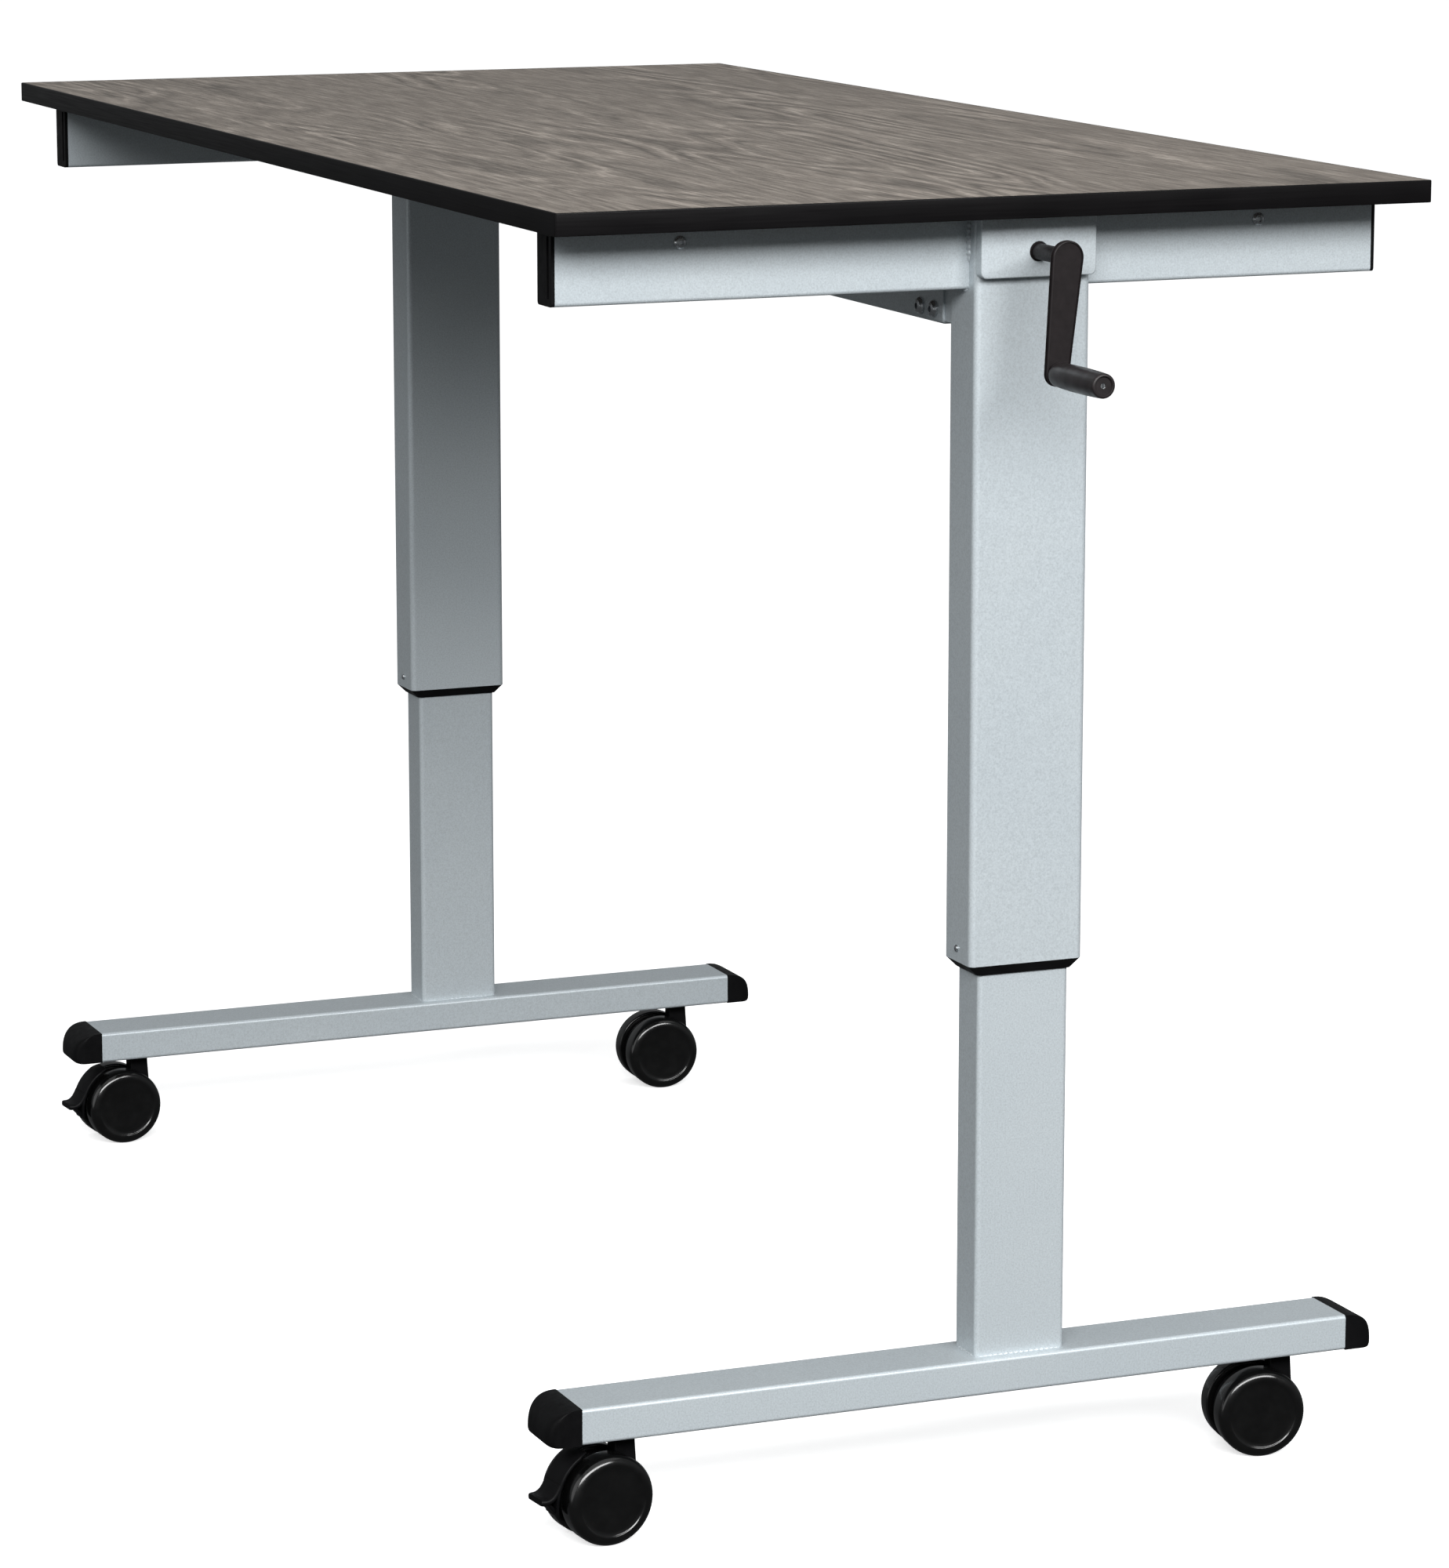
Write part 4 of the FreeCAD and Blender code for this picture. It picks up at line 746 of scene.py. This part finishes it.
class DESK_OT_casters(bpy.types.Operator):
    """Build the twin wheels and the hoods of the four casters"""
    bl_idname = "desk.casters"
    bl_label = "Casters"

    # Down the neck, in millimetres: the drop from its top, how much narrower, and how much further back.
    NECK = ((0, 0.8, -0.6), (0.8, 0, 0), (10, 0, 0.5), (20, 0.2, 1.2), (30, 0.8, 2.0))

    def execute(self, context):
        sizes = context.scene.desk_sizes
        for side in SIDES:
            for end in ENDS:
                place = caster_frame(side, end)
                for hand in HANDS:
                    node = f"{side}_{end}_wheel_{hand}"
                    bm = bmesh.new()
                    lathe(bm, self.wheel_profile(*local_box(node, place), sizes), place)
                    piece(f"{node}_moulded", bm, f"{side}_{end}_{hand}_wheel", "gloss_black_nylon", [node],
                          sharp=40)
                self.hood(side, end, place, sizes)
        return {"FINISHED"}

    def wheel_profile(self, low, high, sizes):
        """A wheel's outline from the bore at its inner face round the tread to the middle of its cap."""
        out = 1 if high.x > -low.x else -1
        inner, outer = (low.x, high.x) if out > 0 else (high.x, low.x)
        radius = high.z
        shoulder, small = sizes.shoulder, 1.5 * MM
        ring = radius - sizes.ring_inset
        hollow = inner + out * 2 * MM
        profile = [(hollow, 0), (hollow, radius * 0.55), (inner, radius * 0.6)]
        profile += [(inner + out * small * (1 - math.cos(turn)), radius - small * (1 - math.sin(turn)))
                    for turn in quarter(4)]
        profile += [(outer - out * shoulder * (1 - math.sin(turn)), radius - shoulder * (1 - math.cos(turn)))
                    for turn in quarter(10)]
        soft = 0.5 * MM
        disc = outer - out * sizes.ring_depth
        dish_rim, dish = disc - out * 0.3 * MM, disc - out * 0.4 * MM
        profile += [(outer, ring + soft), (outer - out * soft * 0.3, ring + soft * 0.3),
                    (outer - out * sizes.ring_depth * 0.7, ring - soft * 0.7), (disc, ring - soft * 1.5),
                    (disc, ring * 0.86), (dish_rim, ring * 0.5), (dish, 0)]
        return profile

    def hood(self, side, end, place, sizes):
        """The disc between the wheels, its rim and the neck that holds the stem."""
        node = f"{side}_{end}_hood"
        low, high = local_box(node, place)
        stem = Vector(JOINTS[f"{side}_{end}_swivel"]["pos_m"])
        stem_y = (place.inverted() @ stem).y
        radius = -low.y
        half, neck_half, soft = 5.5 * MM, 7 * MM, 1.6 * MM
        bm = bmesh.new()
        profile = [(-half, 0), (-half, radius * 0.8)]
        profile += [(-half + soft * (1 - math.cos(turn)), radius - soft * (1 - math.sin(turn)))
                    for turn in quarter(4)]
        profile += [(-along, out) for along, out in profile[::-1]]
        lathe(bm, profile, place)
        front, back = stem_y - sizes.neck_front, stem_y + sizes.neck_back
        rings = []
        for drop, narrow, flare in self.NECK:
            outline = round_rectangle((-neck_half + narrow * MM, front + narrow * MM),
                                      (neck_half - narrow * MM, back + flare * MM), [soft] * 4)
            rings.append([place @ Vector((x, y, high.z - drop * MM)) for x, y in outline])
        loft(bm, rings)
        piece(f"{node}_moulded", bm, f"{side}_{end}_caster", "black_plastic", [node])


class DESK_OT_pedals(bpy.types.Operator):
    """Build the brake pedals that curl over the front casters' wheels"""
    bl_idname = "desk.pedals"
    bl_label = "Brake pedals"

    def execute(self, context):
        sizes = context.scene.desk_sizes
        for side in SIDES:
            node = f"{side}_brake_pedal"
            place = caster_frame(side, "front")
            low, high = local_box(node, place)
            tip = -low.y
            middle = tip - sizes.lip_reach - sizes.pedal_thick / 2
            bm = bmesh.new()
            self.plate(bm, middle, high.x - low.x, sizes.pedal_thick, place)
            self.lip(bm, middle, tip, high.x - low.x, sizes, place)
            self.web(bm, middle, tip, high.x - low.x, sizes, place)
            self.cheeks(bm, middle, place)
            piece(f"{node}_moulded", bm, f"{side}_pedal", "black_plastic", [node], sharp=45)
        return {"FINISHED"}

    def plate(self, bm, middle, width, thick, place):
        """The curved plate over the wheels, narrower and thinner at both ends."""
        steps, start_deg, end_deg = 24, 112, 196
        path = arc((0, 0), middle, start_deg, end_deg, steps)
        wide = [width * (0.8 + 0.2 * min(1, step / 3, (steps - step) / 6)) for step in range(steps + 1)]
        thin = [thick * (0.6 + 0.4 * min(1, step / 2, (steps - step) / 4)) for step in range(steps + 1)]
        strap(bm, path, wide, thin, place)

    def lip(self, bm, middle, tip, width, sizes, place):
        """The lip that the toe presses, thicker towards its rounded end."""
        thick, reach = sizes.pedal_thick, sizes.lip_reach
        steps = 14
        path = bezier((-middle * 0.93, middle * 0.36), (-middle * 1.03, middle * 0.14),
                      (-tip + reach * 0.72, thick * 0.5), (-tip + 0.3 * MM, thick * 0.85), steps)
        wide = [width * (1 - 0.06 * (step / steps) ** 2) for step in range(steps - 1)]
        wide += [width * 0.93, width * 0.88]
        thin = [thick * (1.4 + 0.5 * (step / (steps - 1)) ** 3) for step in range(steps)] + [thick * 1.6]
        strap(bm, path, wide, thin, place)

    def web(self, bm, middle, tip, width, sizes, place):
        """The web that props the lip from below."""
        thick, reach = sizes.pedal_thick, sizes.lip_reach
        steps = 10
        path = bezier((-middle * 0.97, -middle * 0.2), (-middle - reach * 0.25, -thick * 1.8),
                      (-middle - reach * 0.3, -thick * 0.6), (-tip + reach * 0.45, thick * 0.2), steps)
        strap(bm, path, [width * (0.6 + 0.02 * step) for step in range(steps + 1)],
              [thick * 1.3 * (1 - 0.05 * step) for step in range(steps + 1)], place)

    def cheeks(self, bm, middle, place):
        """The two plates beside the hood that carry the pedal on the axle."""
        hub, start_deg, end_deg = 9 * MM, 118, 165
        inside, thick = 5.9 * MM, 1.6 * MM
        outline = arc((0, 0), hub, end_deg, end_deg + 300, 20)
        outline += arc((0, 0), middle, start_deg, end_deg, 10)
        for low_x, high_x in ((-inside - thick, -inside), (inside, inside + thick)):
            slab(bm, outline, low_x, high_x, 0.3 * MM, place, steps=1)


def bezier(start_at, first, second, end_at, steps):
    """Points along a cubic curve in a plane."""
    points = []
    for step in range(steps + 1):
        share = step / steps
        rest = 1 - share
        weights = (rest ** 3, 3 * rest * rest * share, 3 * rest * share * share, share ** 3)
        points.append(tuple(sum(weight * point[axis] for weight, point in
                                zip(weights, (start_at, first, second, end_at))) for axis in (0, 1)))
    return points


class DESK_OT_crank(bpy.types.Operator):
    """Build the crank: shaft with its bush, flat arm and barrelled grip"""
    bl_idname = "desk.crank"
    bl_label = "Crank"

    def execute(self, context):
        sizes = context.scene.desk_sizes
        shaft = Vector(JOINTS["crank_turn"]["pos_m"])
        grip_at = Vector(JOINTS["grip_spin"]["pos_m"])
        arm_low, arm_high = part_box("crank_arm")
        up = shaft - grip_at
        up.x = 0
        place = axis_frame((arm_low.x, shaft.y, shaft.z), (1, 0, 0), up)
        box_low, box_high = local_box("crank_arm", place)
        big, length = box_high.z, up.length
        small = -box_low.z - length
        lean = math.degrees(math.asin((big - small) / length))
        outline = arc((0, 0), big, -lean, 180 + lean, 28)
        outline += arc((0, -length), small, 180 + lean, 360 - lean, 24)
        bm = bmesh.new()
        slab(bm, outline, 0, arm_high.x - arm_low.x, sizes.arm_round, place, steps=4)
        piece("crank_arm_forged", bm, "crank", "dark_powder_coat", ["crank_arm"], sharp=50)
        self.sleeve(shaft, sizes)
        self.grip(grip_at)
        return {"FINISHED"}

    def sleeve(self, shaft, sizes):
        """The shaft from inside the column to inside the arm, with the bush in the cover's hole."""
        low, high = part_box("crank_sleeve")
        radius = (high.z - low.z) / 2
        cover_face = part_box("near_cover")[1].x
        bush_start, bush_end = cover_face - 6 * MM, cover_face - 1.2 * MM
        bush, edge = sizes.bush_radius, 0.4 * MM
        end = high.x - 1.5 * MM
        profile = [(low.x, 0), (low.x, radius), (bush_start, radius), (bush_start, bush),
                   (bush_end - edge, bush), (bush_end, bush - edge), (bush_end, radius), (end, radius),
                   (end, 0)]
        bm = bmesh.new()
        lathe(bm, profile, Matrix.Translation((0, shaft.y, shaft.z)), 48)
        piece("crank_sleeve_turned", bm, "crank", "dark_powder_coat", ["crank_sleeve"])

    def grip(self, grip_at):
        """The free grip: barrelled, rounded at both ends. A small hole in its end shows the pin's head."""
        low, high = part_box("crank_grip")
        length = high.x - low.x
        radius = (high.z - low.z) / 2
        soft, edge = 1.8 * MM, 0.4 * MM
        recess, hole, pin_hole = high.x - 5 * MM, 7.3 * MM, 2.2 * MM
        wall_in, wall_out = high.x - 2.6 * MM, high.x - 1.8 * MM
        body = []
        steps = 24
        for step in range(steps + 1):
            share = step / steps
            swell = math.sin(math.pi * (share * 0.92 + 0.02)) ** 0.6
            body.append((low.x + soft + (length - 2 * soft) * share, radius * (0.9 + 0.1 * swell)))
        first, last = body[0][1], body[-1][1]
        profile = [(low.x, 0), (low.x, first - soft)]
        profile += [(low.x + soft * (1 - math.cos(turn)), first - soft * (1 - math.sin(turn)))
                    for turn in quarter(5, 1)[:-1]]
        profile += body
        profile += [(high.x - soft * (1 - math.sin(turn)), last - soft * (1 - math.cos(turn)))
                    for turn in quarter(5, 1)]
        profile += [(high.x, hole + edge), (high.x - edge, hole), (wall_out, hole - 0.5 * MM),
                    (wall_out, pin_hole), (wall_in, pin_hole), (wall_in, hole), (recess, hole), (recess, 0)]
        bm = bmesh.new()
        lathe(bm, profile, Matrix.Translation((0, grip_at.y, grip_at.z)), 64)
        piece("crank_grip_moulded", bm, "grip", "dark_grip_plastic", ["crank_grip"], sharp=45)


class DESK_OT_stage(bpy.types.Operator):
    """Set up the studio: pale floor, soft light mostly from the crank end, and the camera"""
    bl_idname = "desk.stage"
    bl_label = "Studio"

    def execute(self, context):
        self.floor()
        self.light(context.scene)
        self.camera(context.scene)
        return {"FINISHED"}

    def floor(self):
        """A wide round sheet under the casters."""
        bm = bmesh.new()
        bmesh.ops.create_circle(bm, cap_ends=True, radius=60, segments=96)
        mesh = bpy.data.meshes.new("studio_floor")
        bm.to_mesh(mesh)
        bm.free()
        mesh.materials.append(finish_of("painted_floor"))
        floor = bpy.data.objects.new("studio_floor", mesh)
        floor.visible_diffuse = False
        floor.visible_glossy = False
        bpy.context.scene.collection.objects.link(floor)

    def light(self, scene):
        """A dim sky over a dimmer ground, white to the camera, and three lamps: a wide panel beyond the
        crank end, a fill from the user's side and a very soft one from above."""
        world = bpy.data.worlds.new("studio")
        scene.world = world
        world.use_nodes = True
        tree = world.node_tree
        way = add(tree, "ShaderNodeTexCoord").outputs["Generated"]
        height = add(tree, "ShaderNodeSeparateXYZ", {"Vector": way}).outputs["Z"]
        sky = add(tree, "ShaderNodeMapRange", {"Value": height, "From Min": -0.25, "From Max": 0.15,
                                               "To Min": 0.07, "To Max": 0.19})
        glow = tree.nodes["Background"]
        tree.links.new(sky.outputs["Result"], glow.inputs["Strength"])
        glow.inputs["Color"].default_value = (0.95, 0.98, 1.0, 1)
        white = add(tree, "ShaderNodeBackground", {"Color": (1, 1, 1, 1), "Strength": 1.0})
        ray = add(tree, "ShaderNodeLightPath")
        mix = add(tree, "ShaderNodeMixShader", {0: ray.outputs["Is Camera Ray"], 1: glow.outputs[0],
                                                2: white.outputs[0]})
        tree.links.new(mix.outputs[0], tree.nodes["World Output"].inputs["Surface"])
        self.panel("key", 730, 8.5, 2.0, (0.88, -0.155, 0.45))
        self.lamp("fill", 0.55, 50, (0.1, -0.94, 0.33))
        self.lamp("top", 0.7, 80, (0.15, 0.0, 1.0))

    def lamp(self, name, energy, angle, source):
        """A distant lamp, with its apparent size in degrees and the direction it shines from."""
        lamp = bpy.data.lights.new(name, "SUN")
        lamp.energy = energy
        lamp.angle = math.radians(angle)
        self.hang(lamp, source)

    def panel(self, name, energy, wide, tall, source):
        """A soft panel, 6 m from the desktop's crank end in the direction it shines from."""
        lamp = bpy.data.lights.new(name, "AREA")
        lamp.shape = "RECTANGLE"
        lamp.size = wide
        lamp.size_y = tall
        lamp.energy = energy
        made = self.hang(lamp, source)
        made.visible_camera = False
        desk_end, distance = Vector((0.7, 0.0, 1.05)), 6
        made.location = desk_end + Vector(source) * distance

    def hang(self, lamp, source):
        """Add a lamp to the scene, turned to shine from a direction."""
        made = bpy.data.objects.new(lamp.name, lamp)
        made.rotation_mode = "QUATERNION"
        made.rotation_quaternion = Vector(source).to_track_quat("Z", "Y")
        bpy.context.scene.collection.objects.link(made)
        return made

    def camera(self, scene):
        """A long lens, from beyond the crank end on the user's side and a little above the desktop."""
        lens = bpy.data.cameras.new("camera")
        lens.lens = 128.7
        lens.clip_end = 200
        camera = bpy.data.objects.new("camera", lens)
        camera.location = (4.638, -1.860, 1.462)
        aim = Vector((0.103, 0.009, 0.494))
        camera.rotation_mode = "QUATERNION"
        camera.rotation_quaternion = (aim - camera.location).to_track_quat("-Z", "Y")
        scene.collection.objects.link(camera)
        scene.camera = camera
        scene.view_settings.view_transform = "Standard"


class DESK_PT_panel(bpy.types.Panel):
    """Lists the desk's pieces, sizes and colours"""
    bl_label = "Standing desk"
    bl_space_type = "VIEW_3D"
    bl_region_type = "UI"
    bl_category = "Desk"

    def draw(self, context):
        for made in OPERATORS:
            self.layout.operator(made.bl_idname)
        for group in (context.scene.desk_sizes, context.scene.desk_colours):
            box = self.layout.box()
            for name in group.__annotations__:
                box.prop(group, name)


OPERATORS = (DESK_OT_finish_frame, DESK_OT_edge_band, DESK_OT_crossbeam, DESK_OT_covers, DESK_OT_welds,
             DESK_OT_foot_caps, DESK_OT_casters, DESK_OT_pedals, DESK_OT_crank, DESK_OT_stage)
CLASSES = (DeskSizes, DeskColours, *OPERATORS, DESK_PT_panel)


def register():
    for made in CLASSES:
        bpy.utils.register_class(made)
    bpy.types.Scene.desk_sizes = PointerProperty(type=DeskSizes)
    bpy.types.Scene.desk_colours = PointerProperty(type=DeskColours)


def unregister():
    del bpy.types.Scene.desk_colours
    del bpy.types.Scene.desk_sizes
    for made in reversed(CLASSES):
        bpy.utils.unregister_class(made)


def main():
    register()
    bpy.ops.desk.finish_frame()
    bpy.ops.desk.edge_band()
    bpy.ops.desk.crossbeam()
    bpy.ops.desk.covers()
    bpy.ops.desk.welds()
    bpy.ops.desk.foot_caps()
    bpy.ops.desk.casters()
    bpy.ops.desk.pedals()
    bpy.ops.desk.crank()
    bpy.ops.desk.stage()


if __name__ == "__main__":
    main()
